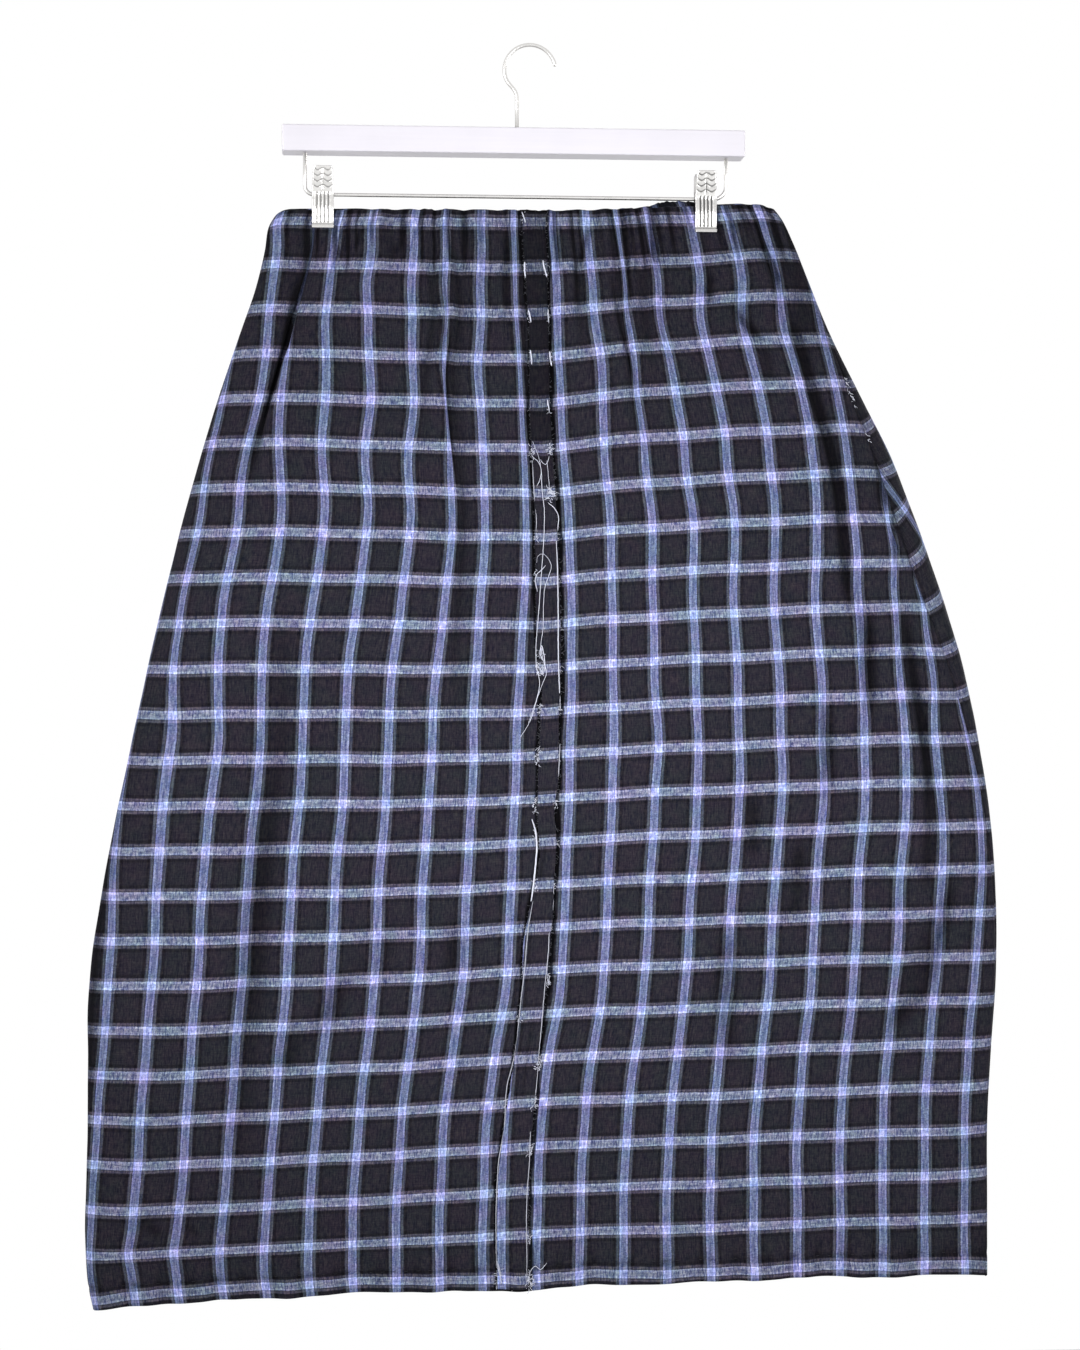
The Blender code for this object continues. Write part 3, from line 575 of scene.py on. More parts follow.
# Reading the tables
def column(table, columns, name, drop):
    """A column of a table at any drop: a smooth cubic through its rows, with their neighbours' slopes."""
    rows = np.array(table, float)
    x, y = rows[:, 0], rows[:, columns.index(name)]
    slope = np.gradient(y, x)
    at = np.clip(np.asarray(drop, float), x[0], x[-1])
    i = np.clip(np.searchsorted(x, at, side="right") - 1, 0, len(x) - 2)
    run = x[i + 1] - x[i]
    t = (at - x[i]) / run
    start = (1 + 2 * t) * (1 - t) ** 2 * y[i] + t * (1 - t) ** 2 * run * slope[i]
    end = t * t * (3 - 2 * t) * y[i + 1] + t * t * (t - 1) * run * slope[i + 1]
    return start + end


def section(name, drop):
    return column(SECTIONS, SECTION_COLUMNS, name, drop)


def cloth(name, drop):
    return column(CLOTH, CLOTH_COLUMNS, name, drop)


def back_half_cloth(drop):
    return column(BACK_HALF, BACK_HALF_COLUMNS, "half", drop)


def ease(t):
    """From 0 to 1 as t does, level at both ends."""
    t = np.clip(t, 0, 1)
    return t * t * (3 - 2 * t)


def bell(t):
    """1 at 0, falling evenly to nothing on both sides."""
    return np.exp(-t * t)


def window(value, start, end, fade):
    """1 between a start and an end, eased to 0 over the fade inside each of them."""
    return ease((value - start) / fade) * ease((end - value) / fade)


# The folds' shape
def fold_strength(fold, drop):
    """1 while a fold shows, easing to 0 towards its start and its end. One at the waist starts full."""
    run = FOLD_EASE * (fold.end - fold.start)
    opening = 1.0 if fold.start <= 0 else ease((drop - fold.start) / run)
    return opening * ease((fold.end - drop) / run)


def fold_path(fold, drop):
    """The across of a fold's middle."""
    return fold.top + (fold.low - fold.top) * np.clip((drop - fold.start) / (fold.end - fold.start), 0, 1)


def fold_height(folds, across, drop):
    """The sum of the folds: each an even ridge with shallow shoulders, or a step, about its path."""
    total = np.zeros(np.shape(across))
    for fold in folds:
        t = (across - fold_path(fold, drop)) / (FOLD_SPREAD * fold.width)
        even = (1 - FOLD_SHOULDERS * t * t) * bell(t)
        step = -STEP_HEIGHT * t * bell(t)
        shape = (1 - abs(fold.lean)) * even + fold.lean * step
        total = total + fold.height * fold_strength(fold, drop) * shape
    return total


def cloth_left(folds, across, drop, side):
    """How much of the cloth between the centre line and a point is left once the folds took up theirs."""
    total = across * side
    for fold in folds:
        if fold.top * side < 0:
            continue
        spread = FOLD_SPREAD * fold.width
        path = fold_path(fold, drop) * side
        taken = (np.tanh((across * side - path) / spread) + np.tanh(path / spread)) / 2
        total = total - fold.take * fold_strength(fold, drop) * taken
    return total


# Sections
class Section:
    """The closed section at one drop. It runs from the left fold along the front to the right fold, and
    back along the rear: quarter ellipses at the four ends, straight between them."""

    ARC = 140
    FLAT = 160

    def __init__(self, drop):
        left, right = section("left_x", drop), section("right_x", drop)
        front, back, run = section("front", drop), section("back", drop), section("end_run", drop)
        angle = np.linspace(0, math.pi / 2, self.ARC)
        rise_x, rise_y = run * (1 - np.cos(angle)), np.sin(angle)
        flat = np.linspace(left + run, right - run, self.FLAT)[1:-1]
        x = np.concatenate([left + rise_x, flat, (right - rise_x)[::-1]])
        depth = np.concatenate([rise_y, np.ones(len(flat)), rise_y[::-1]])
        front_count = len(x)
        y = np.concatenate([-front * depth, back * depth[-2::-1]])[:-1]
        x = np.concatenate([x, x[-2::-1]])[:-1]
        pinch = pinch_weight(x, drop)
        y = y * (1 - pinch) + np.sign(y) * np.minimum(np.abs(y), CLIP_HALF_GRIP) * pinch
        self.x, self.y = np.append(x, x[0]), np.append(y, y[0])
        self.along = np.concatenate([[0], np.cumsum(np.hypot(np.diff(self.x), np.diff(self.y)))])
        self.length = self.along[-1]
        self.front_length = self.along[front_count - 1]
        centre = section("centre_x", drop)
        self.centre = float(np.interp(centre, self.x[:front_count], self.along[:front_count]))

    def place(self, s):
        """The point at a distance along the section, which may run past either end."""
        s = np.mod(s, self.length)
        return np.interp(s, self.along, self.x), np.interp(s, self.along, self.y)

    def outward(self, s):
        """The unit normal of the section, from the chord across each point."""
        x0, y0 = self.place(s - CHORD_STEP)
        x1, y1 = self.place(s + CHORD_STEP)
        dx, dy = x1 - x0, y1 - y0
        size = np.hypot(dx, dy)
        return dy / size, -dx / size


def pinch_weight(x, drop):
    """1 under a clip's jaws, fading to the sides and downwards."""
    total = 0.0
    for clip in (CLIP_LEFT, CLIP_RIGHT):
        beside = np.maximum(0, np.abs(x - clip) - PINCH_FLAT) / PINCH_RUN
        below = np.maximum(0.0, drop - PINCH_DEPTH) / PINCH_FADE
        total = total + np.exp(-beside * beside - below * below)
    return np.minimum(total, 1)


@functools.lru_cache(maxsize=None)
def section_at(drop):
    """The section at a drop, worked out once."""
    return Section(drop)


def along_front(sec, across, drop):
    """Where a point of the front lies along its section. Past a side fold the cloth runs on unfolded."""
    left_edge, right_edge = cloth("left_edge", drop), cloth("right_edge", drop)
    left_scale = sec.centre / cloth_left(FRONT_FOLDS, -left_edge, drop, -1)
    right_scale = (sec.front_length - sec.centre) / cloth_left(FRONT_FOLDS, right_edge, drop, 1)
    left = sec.centre - left_scale * cloth_left(FRONT_FOLDS, np.maximum(across, -left_edge), drop, -1)
    right = sec.centre + right_scale * cloth_left(FRONT_FOLDS, np.minimum(across, right_edge), drop, 1)
    past = np.maximum(0, across - right_edge) - np.maximum(0, -left_edge - across)
    return np.where(across < 0, left, right) + past


def along_back(sec, across, drop):
    """The same for the back panel, whose across is positive to the wearer's right, at the skirt's left."""
    half = back_half_cloth(drop)
    start = sec.front_length - cloth("right_seam", drop)
    end = sec.length + cloth("left_seam", drop)
    whole = cloth_left(BACK_FOLDS, half, drop, 1) + cloth_left(BACK_FOLDS, -half, drop, -1)
    right = cloth_left(BACK_FOLDS, np.maximum(across, 0), drop, 1)
    left = cloth_left(BACK_FOLDS, np.minimum(across, 0), drop, -1)
    from_start = cloth_left(BACK_FOLDS, -half, drop, -1) + right - left
    return start + (end - start) * from_start / whole


def near_hem(drop):
    """0 down to where the hem's rise starts, easing to 1 at the hem."""
    return ease((drop - HEM_RISE_FROM) / (SKIRT_LENGTH - HEM_RISE_FROM))


def rise_share(side, on_left, drop):
    """How much of a side fold's rise a point has, 0 at the centre line and 1 at the fold. It comes early
    down the skirt, evenly along the waist, and late at the hem's left corner."""
    early, late = 1 - (1 - side) ** 2, side**3
    near_waist = 1 - ease(drop / WAIST_RISE_RUN)
    return early + near_waist * (ease(side) - early) + np.where(on_left, near_hem(drop), 0) * (late - early)


def hang(x, y, drop):
    """The height of a point: its drop below the waist line, and the rise that its place gives it."""
    left, right, centre = section("left_x", drop), section("right_x", drop), section("centre_x", drop)
    on_left = x < centre
    side = np.where(on_left, (centre - x) / (centre - left), (x - centre) / (right - centre))
    side = np.clip(side, 0, 1)
    edge_rise = np.where(on_left, cloth("left_rise", drop), cloth("right_rise", drop))
    middle = cloth("centre_rise", drop)
    rise = middle + (edge_rise - middle) * rise_share(side, on_left, drop)
    rise = rise - np.where(on_left, 0, HEM_CORNER_SAG) * near_hem(drop) * side**HEM_CORNER_SHARPNESS
    behind = ease(y / BACK_LIFT_DEPTH) * BACK_LIFT * math.exp(-drop / BACK_LIFT_RUN)
    inward = np.minimum(x - left, right - x)
    corner = CORNER_DROP * np.exp(-inward / CORNER_RUN) * math.exp(-drop / CORNER_DEPTH)
    return WAIST_Z - drop + rise + behind - corner


def seam_calm(across, low, high):
    """0 at a panel's two seams and 1 away from them."""
    return (1 - bell((across - low) / SEAM_CALM)) * (1 - bell((high - across) / SEAM_CALM))


def fold_calm(across, low, high, x, drop):
    """Folds die out at the side seams and under the clips, and are shallow in the stiffer casing."""
    in_casing = CASING_CALM + (1 - CASING_CALM) * ease((drop - CASING_CALM_TO) / CASING_CALM_RUN)
    return seam_calm(across, low, high) * (1 - pinch_weight(x, drop)) * in_casing


@functools.lru_cache(maxsize=None)
def front_span(drop):
    """The front's across at its left seam and at its right seam, read back from where they lie."""
    sec = section_at(drop)
    reach = max(cloth("left_edge", drop), cloth("right_edge", drop)) + SEAM_REACH
    across = np.arange(-reach, reach, 1.0)
    seams = (cloth("left_seam", drop), sec.front_length - cloth("right_seam", drop))
    low, high = np.interp(seams, along_front(sec, across, drop), across)
    return low, high


def folded_row(sec, s, folds, across, low, high, drop):
    """The places of a panel's points at one drop, with its folds standing out square to the section."""
    x, y = sec.place(s)
    nx, ny = sec.outward(s)
    out = fold_height(folds, across, drop) * fold_calm(across, low, high, x, drop)
    return np.stack([x + nx * out, y + ny * out, hang(x, y, drop)], -1)


def front_row(across, drop):
    """A row of the front, between its two side seams."""
    sec = section_at(drop)
    low, high = front_span(drop)
    return folded_row(sec, along_front(sec, across, drop), FRONT_FOLDS, across, low, high, drop)


def back_row(across, drop):
    """A row of the back, which has its seams at equal distances."""
    sec, half = section_at(drop), back_half_cloth(drop)
    return folded_row(sec, along_back(sec, across, drop), BACK_FOLDS, across, -half, half, drop)


# The fine relief on the folds
CREASE_END = 0.2
GATHER_RUN = 62.0
HEM_STITCH = 839.0
STITCH_PITCH = 9.5
STITCH_GROOVE = 0.35
GROOVE_WIDTH = 1.8
STITCH_DIMPLE = 0.7
DIMPLE_WIDTH = 2.6
FLUTE_HEIGHT = 0.6
FLUTES_FROM = 818.0
FLUTES_RUN = 24.0
SLACK_AT_WAIST = 0.35
SLACK_RUN = 120
HEM_AT_SEAMS = 0.4
SCALLOP_DEPTH = 0.5
SCALLOP_FADE = 9
HEM_WAVES_FROM = 790
HEM_WAVES_RUN = 60

# Slow waves of the cloth. Each row: its height, its runs across and down (a run without end where it
# doesn't change that way), and where it starts.
ENDLESS = math.inf
SLACK_WAVES = (
    (0.34, 17, 61, 0.4),
    (0.30, 31, -43, 1.9),
    (0.22, 11, 90, 2.7),
    (0.16, 48, 15, 0.8),
    (0.12, -23, 9, 4.0),
)
HEM_WAVES = (
    (0.75, 15, ENDLESS, 0.6),
    (0.65, 27, ENDLESS, 2.2),
    (0.3, 6.1, ENDLESS, 0.0),
)
WAVER_ASIDE = (
    (0.45, 53, 33, 0.0),
    (0.3, -31, 13, 1.0),
)
WAVER_DOWN = (
    (0.45, 41, ENDLESS, 0.7),
    (0.3, 15, 60, 0.0),
)


def waves(rows, across, drop):
    """The sum of the rows' sine waves."""
    return sum(
        height * np.sin(across / run_across + drop / run_down + start)
        for height, run_across, run_down, start in rows
    )


def crease_height(creases, across, drop):
    """The sum of the creases. Each is a bell across its own straight line, eased to nothing at its ends."""
    total = np.zeros(np.shape(across))
    for crease in creases:
        run_a, run_d = crease.to_across - crease.across, crease.to_drop - crease.drop
        length = math.hypot(run_a, run_d)
        t = ((across - crease.across) * run_a + (drop - crease.drop) * run_d) / length**2
        aside = ((across - crease.across) * run_d - (drop - crease.drop) * run_a) / length
        show = window(t, -CREASE_END, 1 + CREASE_END, 2 * CREASE_END)
        total = total + crease.height * show * bell(2 * aside / crease.width)
    return total


def gather_height(across, drop):
    """Small upright waves of the elastic: two sine waves whose pace drifts, gone at the gathers' foot."""
    wide = np.sin(across / 2.3 + 1.7 * np.sin(across / 29))
    fine = np.sin(across / 1.37 + 2.1 * np.sin(across / 21))
    return (wide + 0.7 * fine) * (1 - ease(drop / GATHER_RUN)) * (0.6 + 0.4 * np.sin(across / 17 + 1.1))


def hem_height(across, drop):
    """The hem's make-up: a shallow groove at the stitch line, a dimple at each stitch, and small flutes."""
    groove = -STITCH_GROOVE * bell((drop - HEM_STITCH) / GROOVE_WIDTH)
    beside = (across / STITCH_PITCH - np.round(across / STITCH_PITCH)) * STITCH_PITCH
    dimple = -STITCH_DIMPLE * bell(beside / DIMPLE_WIDTH) * bell((drop - HEM_STITCH) / DIMPLE_WIDTH)
    flutes = FLUTE_HEIGHT * np.sin(across / 4.1 + 1.9 * np.sin(across / 37))
    return groove + dimple + flutes * ease((drop - FLUTES_FROM) / FLUTES_RUN)


# Where the woven lines of the front stray from their true place: each row moves them aside and
# down about a point of the cloth, and fades over its two runs.
Pull = collections.namedtuple("Pull", ("across", "drop", "run_across", "run_drop", "aside", "down"))
PULLS = tuple(Pull(*row) for row in (
    (-150, 76, 95, 32, 5.5, 0),
    (-150, 151, 110, 32, -5.2, 0),
    (-150, 398, 120, 45, 4.4, 0),
    (-190, 600, 120, 60, -3.4, 0),
    (40, 622, 110, 60, -4.6, 0),
    (160, 212, 80, 26, 4.2, 0),
    (112, 122, 50, 34, -3.4, 0),
    (265, 283, 40, 26, -4.4, 0),
    (88, 425, 34, 30, -3.4, 0),
    (-199, 40, 22, 26, 5, 0),
    (297, 245, 14, 18, 2.5, 0),
    (303, 279, 14, 18, -3.2, 0),
    (294, 259, 4, 18, -3, 0),
    (302, 259, 4, 18, 3, 0),
    (284, 332, 26, 32, -5, 0),
    (326, 298, 9, 16, 8, 0),
    (342, 330, 14, 26, 5, 0),
    (336, 388, 15, 26, -4.2, 0),
    (369, 390, 14, 26, 4.2, 0),
    (-28.5, 96, 4.5, 84, -3, 0),
    (-20.5, 96, 4.5, 84, 3, 0),
    (-101, 88, 4, 24, -3, 0),
    (-93, 88, 4, 24, 3, 0),
    (-95, 148, 4.5, 44, -3.2, 0),
    (-87, 148, 4.5, 44, 3.2, 0),
    (86, 42, 4, 44, -3.2, 0),
    (94, 42, 4, 44, 3.2, 0),
    (-360, 400, 50, 110, 17, 0),
    (-350, 740, 60, 90, 6, 0),
    (-300, 812, 46, 15, 3.4, -0.8),
    (-130, 760, 150, 150, 0, 2.4),
    (378, 480, 42, 90, -7, 0),
))

# How the back panel is pulled beside its right seam. tilt: how steeply its level lines climb away from the
# seam. slide: how far its first upright line has moved in from the seam, negative while it is hidden.
# stretch: how much wider apart the upright lines lie.
SEAM_PULL_COLUMNS = ("drop", "tilt", "slide", "stretch")
SEAM_PULL = (
    (0, 0.0, -10, 0.0),
    (150, 0.2, -10, 0.0),
    (180, 0.42, -10, 0.0),
    (205, 0.32, -7, 0.0),
    (218, 0.3, -2, 0.0),
    (239, 0.55, 9, 0.08),
    (256, 0.62, 18, 0.16),
    (279, 0.5, 27, 0.25),
    (330, 0.34, 28, 0.25),
    (390, 0.2, 28, 0.25),
    (430, 0.1, 28, 0.22),
    (500, 0.0, 28, 0.1),
    (600, 0.0, 28, 0.0),
    (856, 0.0, 28, 0.0),
)
SEAM_PULL_RUN = 34.0
SEAM_PULL_FADE = 190.0
BACK_WAVER_FROM = 400


def seam_pull(name, drop):
    return column(SEAM_PULL, SEAM_PULL_COLUMNS, name, drop)


def front_stray(across, drop):
    """How far the front's woven lines stray: the slow waver of hand-laid cloth and the pulls together."""
    aside, down = waves(WAVER_ASIDE, across, drop), waves(WAVER_DOWN, across, drop)
    for pull in PULLS:
        share = bell((across - pull.across) / pull.run_across) * bell((drop - pull.drop) / pull.run_drop)
        aside, down = aside + pull.aside * share, down + pull.down * share
    return aside, down


def back_stray(across, drop):
    """The back is pulled askew beside its right seam: its level lines climb away from the seam, and its
    upright ones slide in from the seam and spread, all fading further in."""
    aside = waves(WAVER_ASIDE, across + BACK_WAVER_FROM, drop)
    down = waves(WAVER_DOWN, across + BACK_WAVER_FROM, drop)
    inward = across + back_half_cloth(drop)
    near = 1 - ease((inward - SEAM_PULL_RUN) / SEAM_PULL_FADE)
    climb = seam_pull("tilt", drop) * np.minimum(inward, SEAM_PULL_RUN) * near
    settle = back_half_cloth(drop) - FIRST_BACK_WARP - seam_pull("slide", drop)
    return aside + near * (settle - seam_pull("stretch", drop) * inward), down + climb


# The shadow along the right side seam on each panel. depth: how dark it is. start, full, fade, end: the
# drops between which it shows. width: how far in from the seam it reaches.
SeamShade = collections.namedtuple("SeamShade", ("depth", "start", "full", "fade", "end", "width"))
FRONT_SEAM_SHADE = SeamShade(0.6, 130, 155, 300, 360, 2.2)
BACK_SEAM_SHADE = SeamShade(0.45, 120, 140, 270, 330, 7.0)

# Where the seam first comes round to the front, and the back's waist edge beside the right clip: both
# painted in shade.
TURN_SHADE = 0.8
TURN_DROP = 142
TURN_RUN = 26
TURN_WIDTH = 16
PEEK_SHADE = 0.65
PEEK_ACROSS = -140.0
PEEK_SHADE_RUN = 30
PEEK_SHADE_FROM = 1
PEEK_SHADE_FADE = 6


def seam_shade(shade, inward, drop):
    """The shadow of one row: full between two drops, eased out above and below, and inwards."""
    shows = ease((drop - shade.start) / (shade.full - shade.start))
    shows = shows * ease((shade.end - drop) / (shade.end - shade.fade))
    return shade.depth * shows * (1 - ease(inward / shade.width))


def front_seam_shade(across, drop):
    """The seam's shadow, by the distance from the front's right seam."""
    high = np.array([front_span(row)[1] for row in drop[:, 0]])[:, None]
    return seam_shade(FRONT_SEAM_SHADE, high - across, drop)


def back_seam_shade(across, drop):
    """The seam's shadow, the deeper one where the seam turns to the front, and the one on the raw edge."""
    inward = across + back_half_cloth(drop)
    along = seam_shade(BACK_SEAM_SHADE, inward, drop)
    turn = TURN_SHADE * bell((drop - TURN_DROP) / TURN_RUN) * (1 - ease(inward / TURN_WIDTH))
    peek = PEEK_SHADE * bell((across - PEEK_ACROSS) / PEEK_SHADE_RUN)
    peek = peek * (1 - ease((drop - PEEK_SHADE_FROM) / PEEK_SHADE_FADE))
    return np.maximum(np.maximum(turn, along), peek)


def nothing(across, drop):
    """No shade, or no lift, anywhere on a panel."""
    return np.zeros(np.shape(across))


# Meshes
def unit(vectors):
    return vectors / np.linalg.norm(vectors, axis=-1, keepdims=True)


def surface_normals(grid):
    """Unit normals of a grid of points. Its rows run down and its columns run right, seen from outside."""
    return unit(np.cross(np.gradient(grid, axis=0), np.gradient(grid, axis=1)))


def add_piece(name, points, face_sets, material, replaced=(), body="root"):
    """A piece from points in millimetres and arrays of faces, each array with one count of corners. It
    rides on its body, hides the parts it replaces and takes the material it is given."""
    mesh = bpy.data.meshes.new(name)
    mesh.vertices.add(len(points))
    mesh.vertices.foreach_set("co", (np.asarray(points, float) * MM).ravel())
    corners = np.concatenate([faces.ravel() for faces in face_sets])
    sizes = np.concatenate([np.full(len(faces), faces.shape[1]) for faces in face_sets])
    mesh.loops.add(len(corners))
    mesh.loops.foreach_set("vertex_index", corners.astype(np.int32))
    mesh.polygons.add(len(sizes))
    starts = np.concatenate([[0], np.cumsum(sizes)[:-1]])
    mesh.polygons.foreach_set("loop_start", starts.astype(np.int32))
    mesh.update(calc_edges=True)
    if mesh.validate():
        raise RuntimeError(f"{name} has faulty faces")
    mesh.shade_smooth()
    mesh.materials.append(material)
    piece = bpy.data.objects.new(name, mesh)
    bpy.context.scene.collection.objects.link(piece)
    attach(piece, body)
    if replaced:
        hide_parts(*replaced)
    return piece


def add_uv(piece, values):
    """A UV map named cloth, from a pair of values for each vertex."""
    layer = piece.data.uv_layers.new(name="cloth")
    corner = np.zeros(len(piece.data.loops), np.int32)
    piece.data.loops.foreach_get("vertex_index", corner)
    layer.data.foreach_set("uv", np.asarray(values, float)[corner].ravel())


def add_value(piece, name, values):
    """A number for each vertex, for the material to read."""
    attribute = piece.data.attributes.new(name, "FLOAT", "POINT")
    attribute.data.foreach_set("value", np.asarray(values, np.float32).ravel())


RIM_STEPS = 5


def shell_points(outer, inner):
    """The rows of a closed shell: the outer rows downwards, a half-round rim at the foot, the inner rows
    upwards and a half-round rim at the head. The rim runs round the middle of the wall's edge."""
    angle = (np.arange(1, RIM_STEPS + 1) * math.pi / (RIM_STEPS + 1))[:, None, None]

    def rim(start, end, onward):
        middle, half = (start + end) / 2, (start - end) / 2
        reach = np.linalg.norm(half, axis=1, keepdims=True)
        return middle + half * np.cos(angle) + unit(onward) * reach * np.sin(angle)

    foot = rim(outer[-1], inner[-1], outer[-1] - outer[-2])
    head = rim(inner[0], outer[0], outer[0] - outer[1])
    return np.concatenate([outer, foot, inner[::-1], head])


def shell_values(values):
    """The same order of rows for a value that the outer and the inner face share."""
    foot = np.repeat(values[-1:], RIM_STEPS, axis=0)
    head = np.repeat(values[:1], RIM_STEPS, axis=0)
    return np.concatenate([values, foot, values[::-1], head])


def shell_faces(rows, cols):
    """Quads round the ring of rows, and the two side edges closed from the head rim to the foot rim."""
    count = 2 * rows + 2 * RIM_STEPS
    index = np.arange(count * cols).reshape(count, cols)
    below = np.roll(index, -1, axis=0)
    body = np.stack([index[:, :-1], below[:, :-1], below[:, 1:], index[:, 1:]], -1).reshape(-1, 4)
    middle = RIM_STEPS // 2 + 1
    ring = np.arange(-middle, rows + middle)
    mirror = (2 * rows + RIM_STEPS - 1 - ring) % count
    ring = ring % count
    here, there = np.stack([ring[:-1], ring[1:]], -1), np.stack([mirror[:-1], mirror[1:]], -1)
    quads = np.stack([here[:, 0], there[:, 0], there[:, 1], here[:, 1]], -1)
    head, sides, foot = quads[:1], quads[1:-1], quads[-1:]
    corners = [head[:, 1:], sides, foot[:, [0, 1, 3]]]
    left = [index[c, 0] for c in corners]
    right = [index[c, -1][:, ::-1] for c in corners]
    triangles = np.concatenate([left[0], left[2], right[0], right[2]])
    return [np.concatenate([body, left[1], right[1]]), triangles]


def add_shell(name, outer, inner, material, replaced):
    faces = shell_faces(*outer.shape[:2])
    return add_piece(name, shell_points(outer, inner).reshape(-1, 3), faces, material, replaced)


def tube_points(paths, radii, sides, reference):
    """Rings of points square to each path. paths: tubes by points by 3. radii: tubes by points. The rings
    start from the direction square to both the path and the reference."""
    along = unit(np.gradient(paths, axis=1))
    aside = unit(np.cross(along, np.asarray(reference, float)))
    up = np.cross(aside, along)
    angle = np.linspace(0, 2 * math.pi, sides, endpoint=False)[:, None]
    ring = aside[:, :, None] * np.cos(angle) + up[:, :, None] * np.sin(angle)
    return paths[:, :, None] + ring * radii[:, :, None, None]


def tube_faces(tubes, points, sides):
    """Quads along every tube and one many-sided face on each end."""
    index = np.arange(tubes * points * sides).reshape(tubes, points, sides)
    turned = np.roll(index, -1, axis=2)
    walls = np.stack([index[:, :-1], index[:, 1:], turned[:, 1:], turned[:, :-1]], -1).reshape(-1, 4)
    return [walls[:, ::-1], index[:, 0], index[:, -1][:, ::-1]]


def smooth_route(points, count):
    """A smooth route of evenly spaced points through a few given ones: a cubic in each coordinate."""
    points = np.asarray(points, float)
    reach = np.concatenate([[0], np.cumsum(np.linalg.norm(np.diff(points, axis=0), axis=1))])
    at = np.linspace(0, reach[-1], count)
    table = np.column_stack([reach, points])
    names = ["reach"] + [str(i) for i in range(points.shape[1])]
    return np.stack([column(table, names, name, at) for name in names[1:]], -1)


# Materials
class Finish:
    """A material that is put together node by node. Each method adds a node and returns its output."""

    def __init__(self, name):
        self.material = bpy.data.materials.new(name)
        self.material.use_nodes = True
        self.tree = self.material.node_tree
        self.shader = self.tree.nodes["Principled BSDF"]

    def node(self, kind, **settings):
        node = self.tree.nodes.new(kind)
        for name, value in settings.items():
            setattr(node, name, value)
        return node

    def feed(self, socket, value):
        if isinstance(value, bpy.types.NodeSocket):
            self.tree.links.new(value, socket)
        elif value is not None:
            socket.default_value = value

    def maths(self, operation, *values):
        node = self.node("ShaderNodeMath", operation=operation)
        for socket, value in zip(node.inputs, values):
            self.feed(socket, value)
        return node.outputs[0]

    def times(self, first, second):
        return self.maths("MULTIPLY", first, second)

    def plus(self, first, second):
        return self.maths("ADD", first, second)

    def blend(self, share, first, second, way="MIX"):
        node = self.node("ShaderNodeMix", data_type="RGBA", blend_type=way)
        self.feed(node.inputs["Factor"], share)
        colours = [socket for socket in node.inputs if socket.type == "RGBA"]
        for socket, value in zip(colours, (first, second)):
            self.feed(socket, (*value, 1) if isinstance(value, tuple) else value)
        return [socket for socket in node.outputs if socket.type == "RGBA"][0]

    def tinted(self, colour, cast):
        """A colour times another, channel by channel."""
        return self.blend(1.0, colour, cast, "MULTIPLY")

    def darkened(self, colour, share):
        """A colour times one number."""
        return self.tinted(colour, self.vector(share, share, share))

    def ramp(self, value, stops):
        """Colour stops (place, colour), straight between them."""
        node = self.node("ShaderNodeValToRGB")
        elements = node.color_ramp.elements
        while len(elements) < len(stops):
            elements.new(1.0)
        for element, (place, colour) in zip(elements, stops):
            element.position = place
            element.color = (*colour, 1)
        self.feed(node.inputs[0], value)
        return node.outputs[0]

    def spread(self, value, low, high, to_low, to_high):
        node = self.node("ShaderNodeMapRange")
        for socket, number in zip(node.inputs, (value, low, high, to_low, to_high)):
            self.feed(socket, number)
        return node.outputs[0]

    def vector(self, x, y, z=0.0):
        node = self.node("ShaderNodeCombineXYZ")
        for socket, value in zip(node.inputs, (x, y, z)):
            self.feed(socket, value)
        return node.outputs[0]

    def split(self, vector):
        """The three numbers of a vector."""
        node = self.node("ShaderNodeSeparateXYZ")
        self.feed(node.inputs[0], vector)
        return tuple(node.outputs)

    def object_place(self):
        return self.node("ShaderNodeTexCoord").outputs["Object"]

    def noise(self, vector, scale, detail=2.0, rough=0.5):
        node = self.node("ShaderNodeTexNoise")
        self.feed(node.inputs["Vector"], vector)
        self.feed(node.inputs["Scale"], scale)
        self.feed(node.inputs["Detail"], detail)
        self.feed(node.inputs["Roughness"], rough)
        return node.outputs["Fac"]

    def value_of(self, name):
        return self.node("ShaderNodeAttribute", attribute_name=name).outputs["Fac"]

    def bump(self, height, strength, distance):
        node = self.node("ShaderNodeBump")
        self.feed(node.inputs["Height"], height)
        node.inputs["Strength"].default_value = strength
        node.inputs["Distance"].default_value = distance
        self.feed(self.shader.inputs["Normal"], node.outputs[0])

    def set(self, **values):
        """Numbers or outputs for the shader's sockets, named with underscores for spaces."""
        for name, value in values.items():
            self.feed(self.shader.inputs[name.replace("_", " ")], value)


def scaled(colour, share):
    """A colour with all its channels times one number."""
    return tuple(channel * share for channel in colour)


def cast(colour, shares):
    """A colour with each channel times its own number."""
    return tuple(channel * share for channel, share in zip(colour, shares))


def between(first, second, share):
    """The colour at a share of the way from the first to the second."""
    return tuple(a + (b - a) * share for a, b in zip(first, second))


# The stripe, from its middle outwards: distances in millimetres, and the yarn that lies there.
STRIPE = (
    (0.0, "dull"), (1.7, "band"), (2.2, "pale"), (3.15, "pale"), (3.45, "gap"), (3.95, "gap"),
    (4.3, "line"), (5.6, "line"), (6.1, "ground"), (7.0, "dark"), (8.2, "dark"), (9.2, "ground"),
)
DULL_BAND = 0.84
PALE_BAND = 1.3
DARK_GROUND = 0.4
STRIPE_STRAY = 0.55

# The cast of the line beside each system's stripes, and of the places where the two systems' stripes cross.
WARP_LINE_CAST = (0.96, 1.04, 0.98)
WEFT_LINE_CAST = (1.12, 0.99, 0.98)
CROSSING_CAST = (1.2, 0.88, 0.86)

